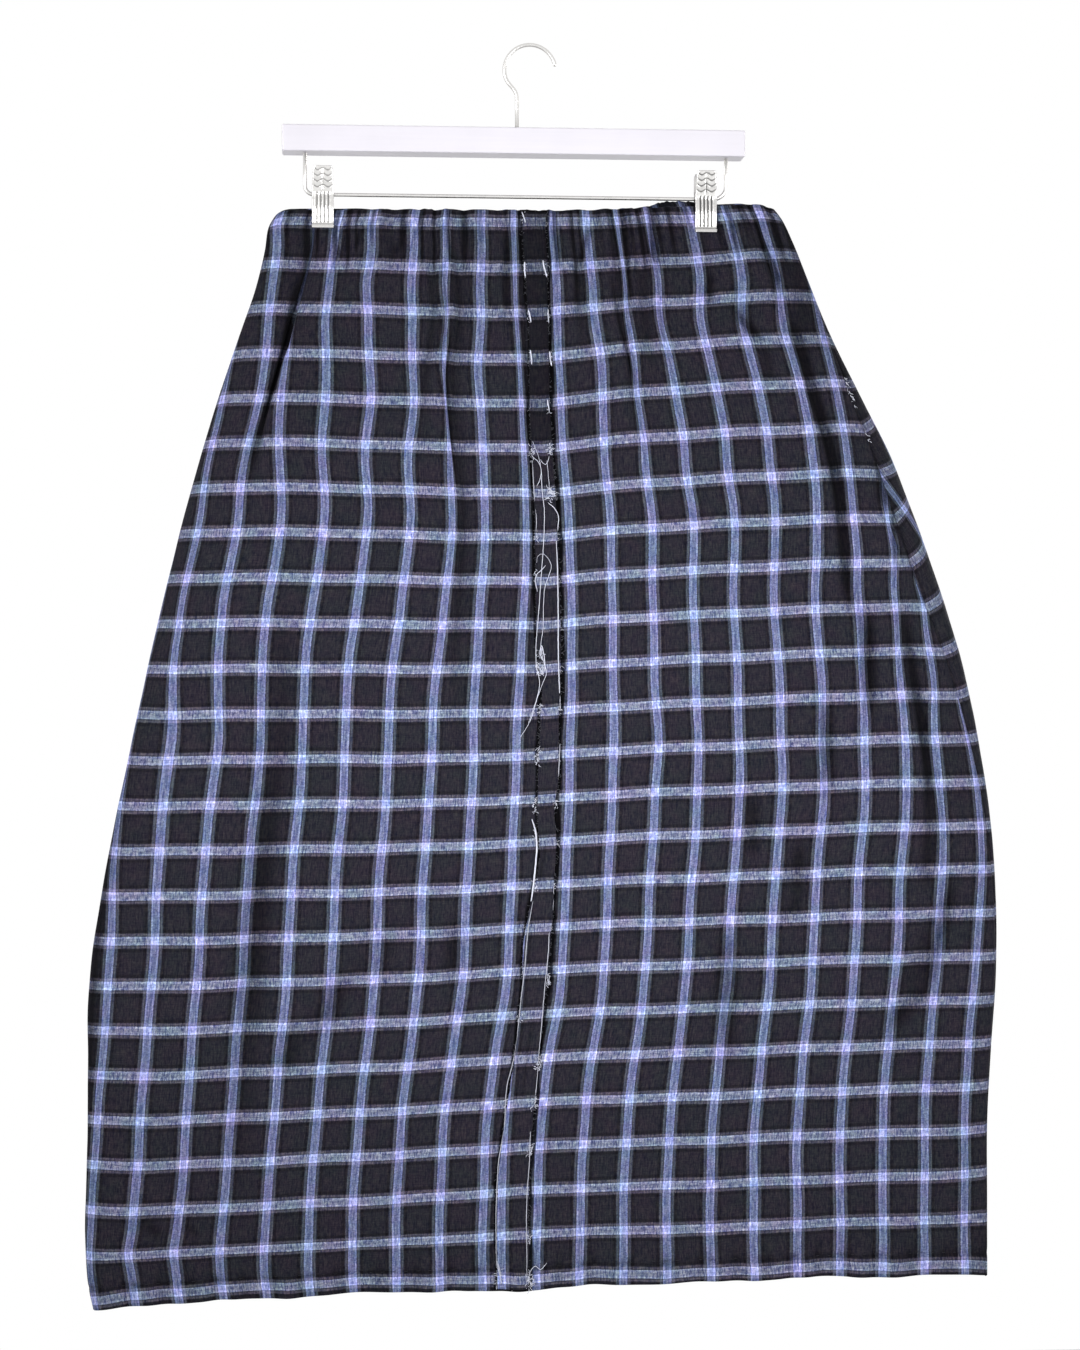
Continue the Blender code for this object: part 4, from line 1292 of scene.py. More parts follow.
# Streaks in each system of yarns. Each row: how fast they change across and down, where their noise is
# read, and the casts of the darkest and of the palest.
WARP_STREAKS = (
    (1.0, 0.07, 1.0, (0.5, 0.56, 0.74), (1.6, 1.52, 1.28)),
    (0.35, 0.8, 2.0, (0.55, 0.58, 0.76), (1.2, 1.2, 1.12)),
)
WEFT_STREAKS = (
    (0.8, 0.16, 4.0, (0.26, 0.3, 0.52), (1.75, 1.65, 1.35)),
    (0.1, 1.1, 5.0, (0.62, 0.62, 0.76), (1.35, 1.35, 1.22)),
)

# The slow drift of the whole cloth's tint, as stops of a noise.
DRIFT = ((0.34, (1.09, 0.96, 1.03)), (0.5, (1.0, 1.0, 1.0)), (0.66, (0.91, 1.04, 0.97)))

# The width of a yarn of each system, and what is left of the colour where the painted shade is deepest.
WARP_YARN = 0.62
WEFT_YARN = 0.66
COLOUR_IN_DEEPEST_SHADE = 0.12


def check_cloth(name, settings):
    """Plain weave of dark yarn with a windowpane check. Each system of yarns is coloured by its distance
    from the nearest stripe: a band with paler borders, a dark gap, a thin side line and a darker line. The
    cloth shows both systems together, each yarn uneven along its length."""
    finish = Finish(name)
    pitch = settings.pitch / MM
    ground, side_line = tuple(settings.ground), tuple(settings.side_line)

    def stops(band, line):
        yarns = {
            "band": band, "dull": scaled(band, DULL_BAND), "pale": scaled(band, PALE_BAND),
            "gap": between(ground, side_line, 0.5), "line": line,
            "ground": ground, "dark": scaled(ground, DARK_GROUND),
        }
        return [(distance / (pitch / 2), yarns[which]) for distance, which in STRIPE]

    u, v, _ = finish.split(finish.node("ShaderNodeUVMap", uv_map="cloth").outputs[0])
    x, y = finish.times(u, pitch), finish.times(v, pitch)

    def nearest(value, seed):
        """How far the nearest stripe is, 0 to 1. Its edge strays by a fraction of a millimetre."""
        noise = finish.noise(finish.vector(x, y, seed), 0.45, 3.0, 0.6)
        stray = finish.spread(noise, 0.0, 1.0, -STRIPE_STRAY / pitch, STRIPE_STRAY / pitch)
        return finish.times(finish.maths("PINGPONG", finish.plus(value, stray), 0.5), 2.0)

    def uneven(colour, across_pace, down_pace, seed, low, high):
        """A yarn system darker and bluer, or paler, in streaks: a noise stretched along the yarns."""
        streak = finish.vector(finish.times(x, across_pace), finish.times(y, down_pace), seed)
        noise = finish.noise(streak, 1.0, 3.0, 0.75)
        return finish.tinted(colour, finish.ramp(noise, [(0.38, low), (0.5, (1, 1, 1)), (0.62, high)]))

    warp = finish.ramp(nearest(u, 3.0), stops(tuple(settings.warp_band), cast(side_line, WARP_LINE_CAST)))
    weft = finish.ramp(nearest(v, 7.0), stops(tuple(settings.weft_band), cast(side_line, WEFT_LINE_CAST)))
    for row in WARP_STREAKS:
        warp = uneven(warp, *row)
    for row in WEFT_STREAKS:
        weft = uneven(weft, *row)

    over = finish.times(
        finish.maths("SINE", finish.times(x, math.pi / WARP_YARN)),
        finish.maths("SINE", finish.times(y, math.pi / WEFT_YARN)),
    )
    mottle = finish.noise(finish.vector(x, y), 0.6, 3.0, 0.7)
    share = finish.plus(finish.times(over, 0.16), finish.spread(mottle, 0.3, 0.7, 0.3, 0.7))
    both = finish.tinted(finish.tinted(weft, warp), CROSSING_CAST)
    colour = finish.blend(1.0, finish.blend(share, weft, warp), both, "ADD")

    drift = finish.noise(finish.vector(x, y, 9.0), 0.05, 3.0, 0.6)
    colour = finish.tinted(colour, finish.ramp(drift, DRIFT))
    # Painted shade: the colour is darkened by each vertex's crease value, the shade of troughs, gathers,
    # the hem's dimples, the seams and the line beside the strip.
    shade = finish.spread(finish.value_of("crease"), 0.0, 1.0, 1.0, COLOUR_IN_DEEPEST_SHADE)
    colour = finish.darkened(colour, shade)

    crumple = finish.noise(finish.vector(x, y, 13.0), 0.085, 3.0, 0.6)
    height = finish.plus(finish.times(over, 0.08), finish.times(mottle, 0.25))
    finish.bump(finish.plus(height, finish.times(crumple, 2.2)), 0.8, 0.0008)
    finish.set(Base_Color=colour, Roughness=0.95, Specular_IOR_Level=0.04, Sheen_Weight=0.02)
    finish.set(Sheen_Roughness=0.5)
    return finish.material


def yarn(name, settings, ground):
    """Frayed yarn: its paleness is stored with its vertices, and it is a little mottled."""
    finish = Finish(name)
    speck = finish.noise(finish.object_place(), 900.0, 2.0, 0.6)
    colour = finish.blend(finish.value_of("pale"), ground, tuple(settings.pale))
    colour = finish.darkened(colour, finish.spread(speck, 0.25, 0.75, 0.82, 1.12))
    finish.set(Base_Color=colour, Roughness=0.8, Specular_IOR_Level=0.2, Sheen_Weight=0.1)
    return finish.material


GRAIN_PACES = (12.0, 420.0, 420.0)


def painted_wood(name, colour):
    """White paint over fine long grain, faintly uneven. The grain runs along the bar."""
    finish = Finish(name)
    place = finish.object_place()
    stretched = [finish.times(part, pace) for part, pace in zip(finish.split(place), GRAIN_PACES)]
    grain = finish.noise(finish.vector(*stretched), 1.0, 4.0, 0.6)
    cloud = finish.noise(place, 26.0, 3.0, 0.5)
    paint = finish.ramp(cloud, [(0.3, scaled(colour, 0.96)), (0.7, colour)])
    paint = finish.darkened(paint, finish.spread(grain, 0.3, 0.7, 0.975, 1.0))
    finish.set(Base_Color=paint, Roughness=finish.spread(grain, 0.3, 0.7, 0.34, 0.46))
    finish.bump(grain, 0.12, 0.0002)
    return finish.material


# The painted shade towards a wire's edges: its colour is tinted tan where it faces away most.
PAINTED_EDGE_SHADE = (0.5, 0.42, 0.36)


def plated_steel(name, colour, groove=False):
    """Bright plated steel with fine scuffs. On the clips, the grooves are painted darker: painted shade and
    the painted dark reflection of the cloth. The wires are painted tan towards their edges, a painted edge
    shade."""
    finish = Finish(name)
    place = finish.object_place()
    scuff = finish.noise(place, 380.0, 4.0, 0.65)
    cloud = finish.noise(place, 60.0, 2.0, 0.5)
    steel = finish.ramp(cloud, [(0.3, scaled(colour, 0.92)), (0.7, colour)])
    if groove:
        steel = finish.darkened(steel, finish.spread(finish.value_of("groove"), 0.0, 1.0, 1.0, 0.16))
    else:
        # Painted shade: the wires turn tan and darker towards their edges.
        facing = finish.node("ShaderNodeLayerWeight").outputs["Facing"]
        steel = finish.tinted(steel, finish.ramp(facing, [(0.45, (1.0, 1.0, 1.0)), (0.9, PAINTED_EDGE_SHADE)]))
    finish.set(Base_Color=steel, Metallic=1.0, Roughness=finish.spread(scuff, 0.3, 0.7, 0.24, 0.36))
    finish.bump(scuff, 0.08, 0.00005)
    return finish.material


FLOOR_GLOW = 0.34


def pale_floor(name):
    """A pale floor, faintly clouded, that gives a little light of its own like a lit studio sweep."""
    finish = Finish(name)
    cloud = finish.noise(finish.object_place(), 1.5, 2.0, 0.5)
    pale = finish.ramp(cloud, [(0.3, (0.9, 0.9, 0.9)), (0.7, (0.93, 0.93, 0.93))])
    finish.set(Base_Color=pale, Roughness=0.7, Emission_Color=(1, 1, 1, 1), Emission_Strength=FLOOR_GLOW)
    return finish.material


# The panels
FRONT_COLUMNS = 172
CENTRE_COLUMNS = 26
CENTRE_SPACING = 1.0
BACK_COLUMNS = 196
FRONT_CROWDING = 0.2
BACK_CROWDING = 0.4
PANEL_DROPS = np.concatenate([
    np.arange(0, 44, 2.0), np.arange(44, 812, 4.2), np.arange(812, SKIRT_LENGTH - 0.5, 1.7), [SKIRT_LENGTH],
])


def wall_thickness(drop, single):
    """One layer of cloth, and more where the casing and the hem are turned in, with a small step."""
    casing = CASING_EXTRA * ease((CASING_DEPTH + TURNING_STEP - drop) / TURNING_STEP)
    hem = HEM_EXTRA * ease((drop - SKIRT_LENGTH + HEM_DEPTH) / TURNING_STEP)
    return single + casing + hem


def relief(creases, across, drop, low, high, gather):
    """Everything that lies on the large folds: creases, gathers, slack and the hem's make-up."""
    calm = seam_calm(across, low, high)
    slack = SLACK_AT_WAIST + (1 - SLACK_AT_WAIST) * ease(drop / SLACK_RUN)
    small = waves(SLACK_WAVES, across, drop) * slack + gather * gather_height(across, drop)
    on_hem = hem_height(across, drop) * np.minimum(1, calm + HEM_AT_SEAMS)
    return calm * (small + crease_height(creases, across, drop)) + on_hem


def edge_sway(across, drop):
    """How much lower the cloth's two free edges hang in places: small scallops above, slow waves below."""
    scallops = SCALLOP_DEPTH * np.sin(across / 4.2 + 1.5 * np.sin(across / 19))
    scallops = scallops * np.exp(-drop / SCALLOP_FADE)
    return scallops + waves(HEM_WAVES, across, drop) * ease((drop - HEM_WAVES_FROM) / HEM_WAVES_RUN)


def panel_surface(panel, across, drops, low, high, gather):
    """A panel's outer face: the large folds, with the relief standing out along their normals."""
    base = np.stack([panel.row(row, drop) for row, drop in zip(across, drops)])
    down = np.broadcast_to(drops[:, None], across.shape)
    pinch = np.stack([pinch_weight(base[i, :, 0], drop) for i, drop in enumerate(drops)])
    height = relief(panel.creases, across, down, low[:, None], high[:, None], gather) * (1 - pinch)
    surface = base + surface_normals(base) * height[:, :, None]
    surface[:, :, 2] -= edge_sway(across, down) * (1 - pinch)
    surface[:, :, 2] += panel.lift(base[:, :, 0], down)
    return surface


PEEK_X = 117.0
PEEK_RUN = 19.0
PEEK_HEIGHT = 4.2
PEEK_DEPTH = 16.0


def back_peek(x, drop):
    """The back's waist edge stands up beside the right clip, in small ruffles that show over the front."""
    ruffle = 0.82 + 0.18 * np.sin(x / 0.9) * np.sin(x / 2.3)
    return PEEK_HEIGHT * ruffle * bell(((x - PEEK_X) / PEEK_RUN) ** 2) * np.exp(-drop / PEEK_DEPTH)


def row_distances(grid):
    """How far each point of a grid lies along its row, added up in plan from the row's first point."""
    steps = np.linalg.norm(np.diff(grid[:, :, :2], axis=1), axis=2)
    return np.concatenate([np.zeros((len(grid), 1)), np.cumsum(steps, axis=1)], axis=1)


def gap_shade(outer, side):
    """The painted shadow line beside the strip on a front panel: 1 from the centre seam to a little beyond
    the strip's edge, by a width that wavers down the cloth."""
    distance = row_distances(outer if side > 0 else outer[:, ::-1])
    edge = np.interp(PANEL_DROPS, STRIP_DROPS, strip_edge(side))[:, None]
    drop = PANEL_DROPS[:, None]
    width = STRIP_GAP[side] * (1 + 0.25 * np.sin(drop / 19 + side) + 0.2 * np.sin(drop / 7 + 2 * side))
    shade = ease((edge + width - distance) / GAP_SOFT + 0.5)
    return shade if side > 0 else shade[:, ::-1]


SHADE_DEPTH = 1.5
DARKEST_TROUGH = 0.85
FOLD_SHADE = 0.16
GATHER_SHADE = 5.0
HEM_SHADE = 0.8


def trough_shade(panel, across, drop, gather):
    """How dark a point is because it lies in a trough: creases count in full, large folds a little."""
    height = crease_height(panel.creases, across, drop)
    height = height + FOLD_SHADE * fold_height(panel.folds, across, drop)
    height = height + GATHER_SHADE * gather * gather_height(across, drop)
    height = height + HEM_SHADE * np.minimum(0, hem_height(across, drop))
    return np.clip(-height / SHADE_DEPTH, 0, 1) * DARKEST_TROUGH


# A panel. node: the solid it stands for. side: -1 or 1 for the front panels, 0 for the back. warp: the
# across of its first upright stripe. row: its points at one drop. folds, creases: its tables. stray: how
# its woven lines stray. shade: its seam's shadow. lift: what raises its waist edge. cut: the width of its
# flat cut at the widest and its length, in metres.
Panel = collections.namedtuple(
    "Panel", ("node", "side", "warp", "row", "folds", "creases", "stray", "shade", "lift", "cut"),
)
PANELS = (
    Panel(
        node="front_left", side=-1, warp=LEFT_WARP, row=front_row, folds=FRONT_FOLDS,
        creases=FRONT_CREASES, stray=front_stray, shade=nothing, lift=nothing, cut=(0.361, 0.856),
    ),
    Panel(
        node="front_right", side=1, warp=RIGHT_WARP, row=front_row, folds=FRONT_FOLDS,
        creases=FRONT_CREASES, stray=front_stray, shade=front_seam_shade, lift=nothing, cut=(0.398, 0.856),
    ),
    Panel(
        node="back", side=0, warp=BACK_WARP, row=back_row, folds=BACK_FOLDS,
        creases=BACK_CREASES, stray=back_stray, shade=back_seam_shade, lift=back_peek, cut=(0.708, 0.856),
    ),
)


def add_panel(panel, across, ends, settings, material):
    """One panel as a closed shell, with its check map and its troughs' shade."""
    low, high = ends
    single, pitch, gather = settings.thickness / MM, settings.pitch / MM, settings.gather / MM
    outer = panel_surface(panel, across, PANEL_DROPS, low, high, gather)
    thickness = wall_thickness(PANEL_DROPS, single)
    inner = outer - surface_normals(outer) * thickness[:, None, None]
    piece = add_shell(f"skirt_{panel.node}", outer, inner, material, [panel.node])
    down = np.broadcast_to(PANEL_DROPS[:, None], across.shape)
    aside, below = panel.stray(across, down)
    woven = np.stack([(across + aside - panel.warp) / pitch, (down + below - FIRST_WEFT) / pitch], -1)
    add_uv(piece, shell_values(woven).reshape(-1, 2))
    # Painted shade, stored as the crease value: the troughs' shade, the seams' shadows and the shadow line
    # beside the strip.
    shade = np.maximum(trough_shade(panel, across, down, gather), panel.shade(across, down))
    if panel.side:
        shade = np.maximum(shade, gap_shade(outer, panel.side))
    add_value(piece, "crease", shell_values(shade))
    return piece


def front_across(side):
    """The across of a front panel's points at every drop: close together by the centre seam, then wider,
    and closer again by the side seam."""
    spans = np.array([front_span(drop) for drop in PANEL_DROPS])
    reach = (spans[:, 1] if side > 0 else -spans[:, 0]) - SEAM_GAP / 2
    near = CENTRE_GAP / 2 + CENTRE_SPACING * np.arange(CENTRE_COLUMNS)
    share = np.linspace(0, 1, FRONT_COLUMNS - CENTRE_COLUMNS + 1)[1:]
    crowded = share + FRONT_CROWDING * share * (1 - share)
    far = near[-1] + (reach - near[-1])[:, None] * crowded
    across = np.concatenate([np.broadcast_to(near, (len(reach), len(near))), far], axis=1)
    across = across if side > 0 else -across[:, ::-1]
    return across, (spans[:, 0], spans[:, 1])


def back_across():
    """The across of the back's points at every drop, closer together towards both seams."""
    half = back_half_cloth(PANEL_DROPS)
    share = np.linspace(-1, 1, BACK_COLUMNS)
    crowded = (1 - BACK_CROWDING) * share + BACK_CROWDING * np.sin(math.pi / 2 * share)
    return (half - SEAM_GAP / 2)[:, None] * crowded, (-half, half)


class SKIRT_OT_panels(bpy.types.Operator):
    """Make the two front panels and the back panel from the check cloth"""

    bl_idname = "skirt.panels"
    bl_label = "Panels"

    def execute(self, context):
        settings = context.scene.skirt_cloth
        material = check_cloth("Check suiting", settings)
        for panel in PANELS:
            across, ends = front_across(panel.side) if panel.side else back_across()
            piece = add_panel(panel, across, ends, settings, material)
        return {"FINISHED"}


# The strip
STRIP_COLUMNS = 15
STRIP_DROPS = np.arange(1.0, SKIRT_LENGTH - 0.9, 2.2)
STRIP_LAYER = 0.7
STRIP_CLEAR = 0.35
STRIP_BAND = 34.0
BAND_STEP = 1.0
BAND_MARGIN = 1.4
EDGE_STEPS = 0.3
EDGE_WAVES = 0.15
CURL_MEAN = 0.75
STRIP_RIDGE = 0.25
# The strip's upper part is painted darker, a painted shade: full down to STRIP_SHADE_TO, fading out over
# STRIP_SHADE_RUN.
STRIP_SHADE = 0.5
STRIP_SHADE_TO = 150.0
STRIP_SHADE_RUN = 90.0

# How far the painted shadow line beside the strip reaches past its left and right edge, and how softly it
# ends.
STRIP_GAP = {-1: 2.3, 1: 3.2}
GAP_SOFT = 1.2

# How far from the centre line the strip's own upright stripe lies, mostly off its left edge.
STRIP_GRAIN_COLUMNS = ("drop", "stripe")
STRIP_GRAIN = (
    (0, -18.0),
    (500, -15.0),
    (580, -12.0),
    (700, -9.5),
    (856, -8.0),
)


@functools.lru_cache(maxsize=None)
def centre_band():
    """The front's surface about the centre seam, at even distances along the cloth from there."""
    reach = BAND_MARGIN * STRIP_BAND
    across = np.arange(-reach, reach + BAND_STEP / 2, BAND_STEP)
    middle = int(np.argmin(np.abs(across)))
    across = across - across[middle]
    grid = np.broadcast_to(across, (len(STRIP_DROPS), len(across)))
    spans = np.array([front_span(drop) for drop in STRIP_DROPS])
    gather = bpy.context.scene.skirt_cloth.gather / MM
    surface = panel_surface(PANELS[0], grid, STRIP_DROPS, spans[:, 0], spans[:, 1], gather)
    distance = row_distances(surface)
    distance = distance - distance[:, [middle]]
    even = np.arange(-STRIP_BAND, STRIP_BAND + BAND_STEP / 2, BAND_STEP)
    return np.stack([
        np.stack([np.interp(even, along, row[:, axis]) for axis in range(3)], -1)
        for along, row in zip(distance, surface)
    ])


def on_front(offset, drop):
    """Points of the front at offsets from the centre seam and at drops, read between the band's points."""
    band = centre_band()
    down = np.clip((drop - STRIP_DROPS[0]) / (STRIP_DROPS[1] - STRIP_DROPS[0]), 0, len(band) - 1.001)
    right = np.clip((offset + STRIP_BAND) / BAND_STEP, 0, band.shape[1] - 1.001)
    row, col = down.astype(int), right.astype(int)
    down, right = (down - row)[..., None], (right - col)[..., None]
    top = band[row, col] * (1 - right) + band[row, col + 1] * right
    foot = band[row + 1, col] * (1 - right) + band[row + 1, col + 1] * right
    past = (drop - np.clip(drop, STRIP_DROPS[0], STRIP_DROPS[-1]))[..., None] * np.array([0, 0, -1.0])
    return top * (1 - down) + foot * down + past


def strip_edge(side):
    """How far the strip's edge stands from the centre line on one side: its table, with the small steps
    and waves of a raw edge."""
    edge = column(STRIP_EDGES, STRIP_EDGE_COLUMNS, "left" if side < 0 else "right", STRIP_DROPS)
    noise = np.random.default_rng(11 + side).normal(0, 1, len(STRIP_DROPS))
    steps = np.convolve(noise, (0.25, 0.5, 0.25), "same")
    return edge + EDGE_STEPS * steps + EDGE_WAVES * np.sin(STRIP_DROPS / 7.3 + 2 * side)


def strip_lift(share, drop, edge_lift):
    """How far the strip stands off the front: a small gap in the middle with a low ridge that comes and
    goes, and more at its curled edges."""
    side = np.sign(share)
    curl = CURL_MEAN + 0.25 * np.sin(drop / 23 + 2.2 * side) + 0.25 * np.sin(drop / 8.7 + side)
    ridge = STRIP_RIDGE * bell(share / 0.16) * (0.5 + 0.5 * np.sin(drop / 60))
    return STRIP_CLEAR + edge_lift * curl * np.abs(share) ** 3 + ridge


def strip_surface(edge_lift):
    """The strip's inner face: rows across the centre seam, lifted straight out from the front."""
    share = np.linspace(-1, 1, STRIP_COLUMNS)
    left, right = strip_edge(-1)[:, None], strip_edge(1)[:, None]
    offset = np.where(share < 0, left, right) * share
    base = on_front(offset, np.broadcast_to(STRIP_DROPS[:, None], offset.shape))
    out = strip_lift(share[None, :], STRIP_DROPS[:, None], edge_lift)
    return base + out[:, :, None] * np.array([0, -1.0, 0]), offset


class SKIRT_OT_strip(bpy.types.Operator):
    """Make the raw-edged strip that covers the centre seam"""

    bl_idname = "skirt.strip"
    bl_label = "Centre strip"

    def execute(self, context):
        settings, cloth_settings = context.scene.skirt_strip, context.scene.skirt_cloth
        inner, offset = strip_surface(settings.lift / MM)
        outer = inner + np.array([0, -STRIP_LAYER, 0])
        material = check_cloth("Strip suiting", cloth_settings)
        piece = add_shell("skirt_centre_strip", outer, inner, material, ["centre_strip"])
        pitch = cloth_settings.pitch / MM
        down = np.broadcast_to(STRIP_DROPS[:, None], offset.shape)
        stripe = column(STRIP_GRAIN, STRIP_GRAIN_COLUMNS, "stripe", down)
        _, below = front_stray(offset, down)
        woven = np.stack([(offset - stripe) / pitch, (down + below - FIRST_WEFT) / pitch], -1)
        add_uv(piece, shell_values(woven).reshape(-1, 2))
        # Painted shade, stored as the crease value: the strip's creases and its darker upper part.
        shade = np.clip(-crease_height(STRIP_CREASES, offset, down), 0, 1)
        shade = np.maximum(shade, STRIP_SHADE * (1 - ease((down - STRIP_SHADE_TO) / STRIP_SHADE_RUN)))
        add_value(piece, "crease", shell_values(shade))
        area = float(np.trapz(strip_edge(-1) + strip_edge(1), STRIP_DROPS)) * MM * MM
        return {"FINISHED"}


# Frayed yarns
YARN_SIDES = 5
FRAY_STEPS = 7
FRINGE_WIDTH = 0.8
FRINGE_ROOT = 0.6
SEAM_TUFT_LEVELS = np.arange(120.0, 220.0, 4.0)
SEAM_ALONG = np.array([0.85, 0.5, 0.0])
SEAM_INTO = np.array([-0.5, 0.85, 0.0])


def on_strip(offset, drop, lift):
    """Points at offsets and drops on the strip's face, lifted off it."""
    out = (STRIP_CLEAR + STRIP_LAYER + lift)[..., None] * np.array([0, -1.0, 0])
    return on_front(offset, drop) + out


def curled(starts, drops, headings, reach, rng):
    """Short curling paths on the strip. Each sets off in its heading, and turns as it goes."""
    t = np.linspace(0, 1, FRAY_STEPS)
    turn = rng.normal(0, 1.3, (len(starts), 1)) * t + rng.normal(0, 0.5, (len(starts), 1)) * t * t
    angle = headings[:, None] + turn
    stride = reach[:, None] / (FRAY_STEPS - 1)
    offset = starts[:, None] + np.cumsum(np.cos(angle) * stride, axis=1)
    drop = drops[:, None] + np.cumsum(np.sin(angle) * stride, axis=1)
    lift = rng.uniform(-0.3, 0.7, (len(starts), 1)) + rng.uniform(0.0, 0.8, (len(starts), 1)) * t
    return on_strip(offset, drop, lift)


def tapered(count, steps, width, rng):
    """Yarn radii: nearly even, thinner at both ends."""
    t = np.linspace(0, 1, steps)
    ends = 0.35 + 0.65 * np.minimum(1, 6 * np.minimum(t, 1 - t) + 0.2)
    return width / 2 * ends * rng.uniform(0.75, 1.2, (count, 1))


def add_yarns(name, groups, material):
    """One piece from groups of (paths, radii, pale). A group's paths all have one count of points."""
    points, faces, pales, start = [], [], [], 0
    for paths, radii, pale in groups:
        rings = tube_points(paths, radii, YARN_SIDES, (0, 1, 0.02))
        tubes, steps = paths.shape[:2]
        faces += [part + start for part in tube_faces(tubes, steps, YARN_SIDES)]
        points.append(rings.reshape(-1, 3))
        pales.append(np.repeat(pale, steps * YARN_SIDES))
        start += tubes * steps * YARN_SIDES
    piece = add_piece(name, np.concatenate(points), faces, material)
    add_value(piece, "pale", np.concatenate(pales))


class SKIRT_OT_yarns(bpy.types.Operator):
    """Make the frayed yarns of the strip's raw edges and the loose yarns that lie on it"""

    bl_idname = "skirt.yarns"
    bl_label = "Frayed yarns"

    def execute(self, context):
        settings = context.scene.skirt_strip
        material = yarn("Frayed yarn", settings, tuple(context.scene.skirt_cloth.ground))
        width = settings.yarn / MM
        rng = np.random.default_rng(5)
        pitch = context.scene.skirt_cloth.pitch / MM
        groups = [self.fringe(settings.fringe, width, pitch, rng)]
        groups += [self.tuft(tuft, width, rng) for tuft in TUFTS]
        groups += [self.strand(row, rng) for row in YARNS]
        groups += [self.seam_tuft(row, width, rng) for row in SEAM_TUFTS]
        add_yarns("strip_yarns", groups, material)
        return {"FINISHED"}

    def fringe(self, count, width, pitch, rng):
        """Short yarns all along both raw edges, paler where a weft stripe ends."""
        drops = rng.uniform(2, SKIRT_LENGTH - 3, count)
        sides = rng.choice([-1, 1], count)
        edges = np.where(sides > 0, *(np.interp(drops, STRIP_DROPS, strip_edge(side)) for side in (1, -1)))
        near_bar = bell(((drops - FIRST_WEFT + pitch / 2) % pitch - pitch / 2) / 4.0)
        headings = np.where(sides > 0, 0.0, math.pi) + rng.normal(0, 0.5, count)
        reach = rng.gamma(3.0, 0.45, count) + 0.5
        pale = np.clip(0.05 + near_bar * rng.uniform(0.2, 0.9, count), 0, 1)
        paths = curled(sides * (edges - FRINGE_ROOT), drops, headings, reach, rng)
        return paths, tapered(count, FRAY_STEPS, FRINGE_WIDTH * width, rng), pale

    def tuft(self, tuft, width, rng):
        """A small tangle of pale yarns."""
        count = tuft.count
        drops = tuft.drop + tuft.along * rng.uniform(-0.5, 0.5, count)
        starts = tuft.offset + rng.normal(0, 0.7, count)
        reach = tuft.reach * rng.uniform(0.6, 1.4, count)
        paths = curled(starts, drops, rng.uniform(-math.pi, math.pi, count), reach, rng)
        return paths, tapered(count, FRAY_STEPS, width, rng), rng.uniform(0.6, 1.0, count)

    def seam_tuft(self, row, width, rng):
        """A few pale yarns that stand out of the right side seam."""
        drop, along, count, reach = row
        levels = SEAM_TUFT_LEVELS
        edge = np.stack([front_row(np.array([front_span(level)[1]]), level)[0] for level in levels])
        t = np.linspace(0, 1, FRAY_STEPS)
        angle = rng.uniform(-math.pi, math.pi, (count, 1)) + rng.normal(0, 1.4, (count, 1)) * t
        stride = rng.uniform(0.5, 1.2, (count, 1)) * reach / (FRAY_STEPS - 1)
        down = drop + along * rng.uniform(-0.5, 0.5, (count, 1)) + np.cumsum(np.sin(angle) * stride, axis=1)
        aside = np.cumsum(np.cos(angle) * stride, axis=1)
        paths = np.stack([np.interp(down, levels, edge[:, axis]) for axis in range(3)], -1)
        paths = paths + aside[:, :, None] * SEAM_ALONG - (0.5 + 0.8 * t)[:, None] * SEAM_INTO
        return paths, tapered(count, FRAY_STEPS, width, rng), rng.uniform(0.5, 0.9, count)

    def strand(self, row, rng):
        """One long yarn on its route, rising and falling a little."""
        reach = sum(math.dist(a, b) for a, b in zip(row.route, row.route[1:]))
        steps = max(8, int(reach / 1.6))
        line = smooth_route(row.route, steps) + rng.normal(0, 0.06, (steps, 2))
        lift = row.lift + 0.3 * np.sin(np.linspace(0, 3 + reach / 14, steps) + row.route[0][1])
        path = on_strip(line[:, 0], line[:, 1], lift)[None]
        return path, tapered(1, steps, row.width, rng), np.array([row.pale])


# The hem's stitches
STITCH_LENGTH = 2.6
STITCH_WIDTH = 0.32

# The points of a stitch, in shares of its length, and how far each stands off the cloth as it would be
# without the dimple.
STITCH_PLACES = np.array([-0.5, -0.25, 0.0, 0.25, 0.5])
STITCH_LIFTS = np.array([-0.9, -0.42, -0.32, -0.42, -0.9])


def stitch_paths(point_row, low, high):
    """A short path for each stitch of the hem, which lies in its dimple and sinks in at both ends."""
    middles = np.arange(math.ceil(low / STITCH_PITCH) + 1, math.floor(high / STITCH_PITCH)) * STITCH_PITCH
    across = (middles[:, None] + STITCH_PLACES * STITCH_LENGTH).ravel()
    points = point_row(across, HEM_STITCH).reshape(len(middles), len(STITCH_PLACES), 3)
    ahead = point_row(across + 1.0, HEM_STITCH).reshape(points.shape)
    outward = unit(np.cross(np.array([0, 0, -1.0]), ahead - points))
    return points + outward * STITCH_LIFTS[:, None]


class SKIRT_OT_stitches(bpy.types.Operator):
    """Make the hem's small dark stitches, all round"""

    bl_idname = "skirt.stitches"
    bl_label = "Hem stitches"

    def execute(self, context):
        settings = context.scene.skirt_strip
        material = yarn("Sewing thread", settings, tuple(context.scene.skirt_cloth.ground))
        low, high = front_span(HEM_STITCH)
        half = back_half_cloth(HEM_STITCH)
        paths = np.concatenate([stitch_paths(front_row, low, high), stitch_paths(back_row, -half, half)])
        radii = np.full(paths.shape[:2], STITCH_WIDTH / 2)
        add_yarns("hem_stitches", [(paths, radii, np.zeros(len(paths)))], material)
        return {"FINISHED"}


# The hanger
WIRE_SIDES = 24


def arc_points(centre_x, centre_z, radius, first, last, count):
    """Points of an arc in the XZ plane, between two angles in degrees."""
    angle = np.radians(np.linspace(first, last, count))
    x, z = centre_x + radius * np.cos(angle), centre_z + radius * np.sin(angle)
    return np.stack([x, np.zeros(count), z], -1)


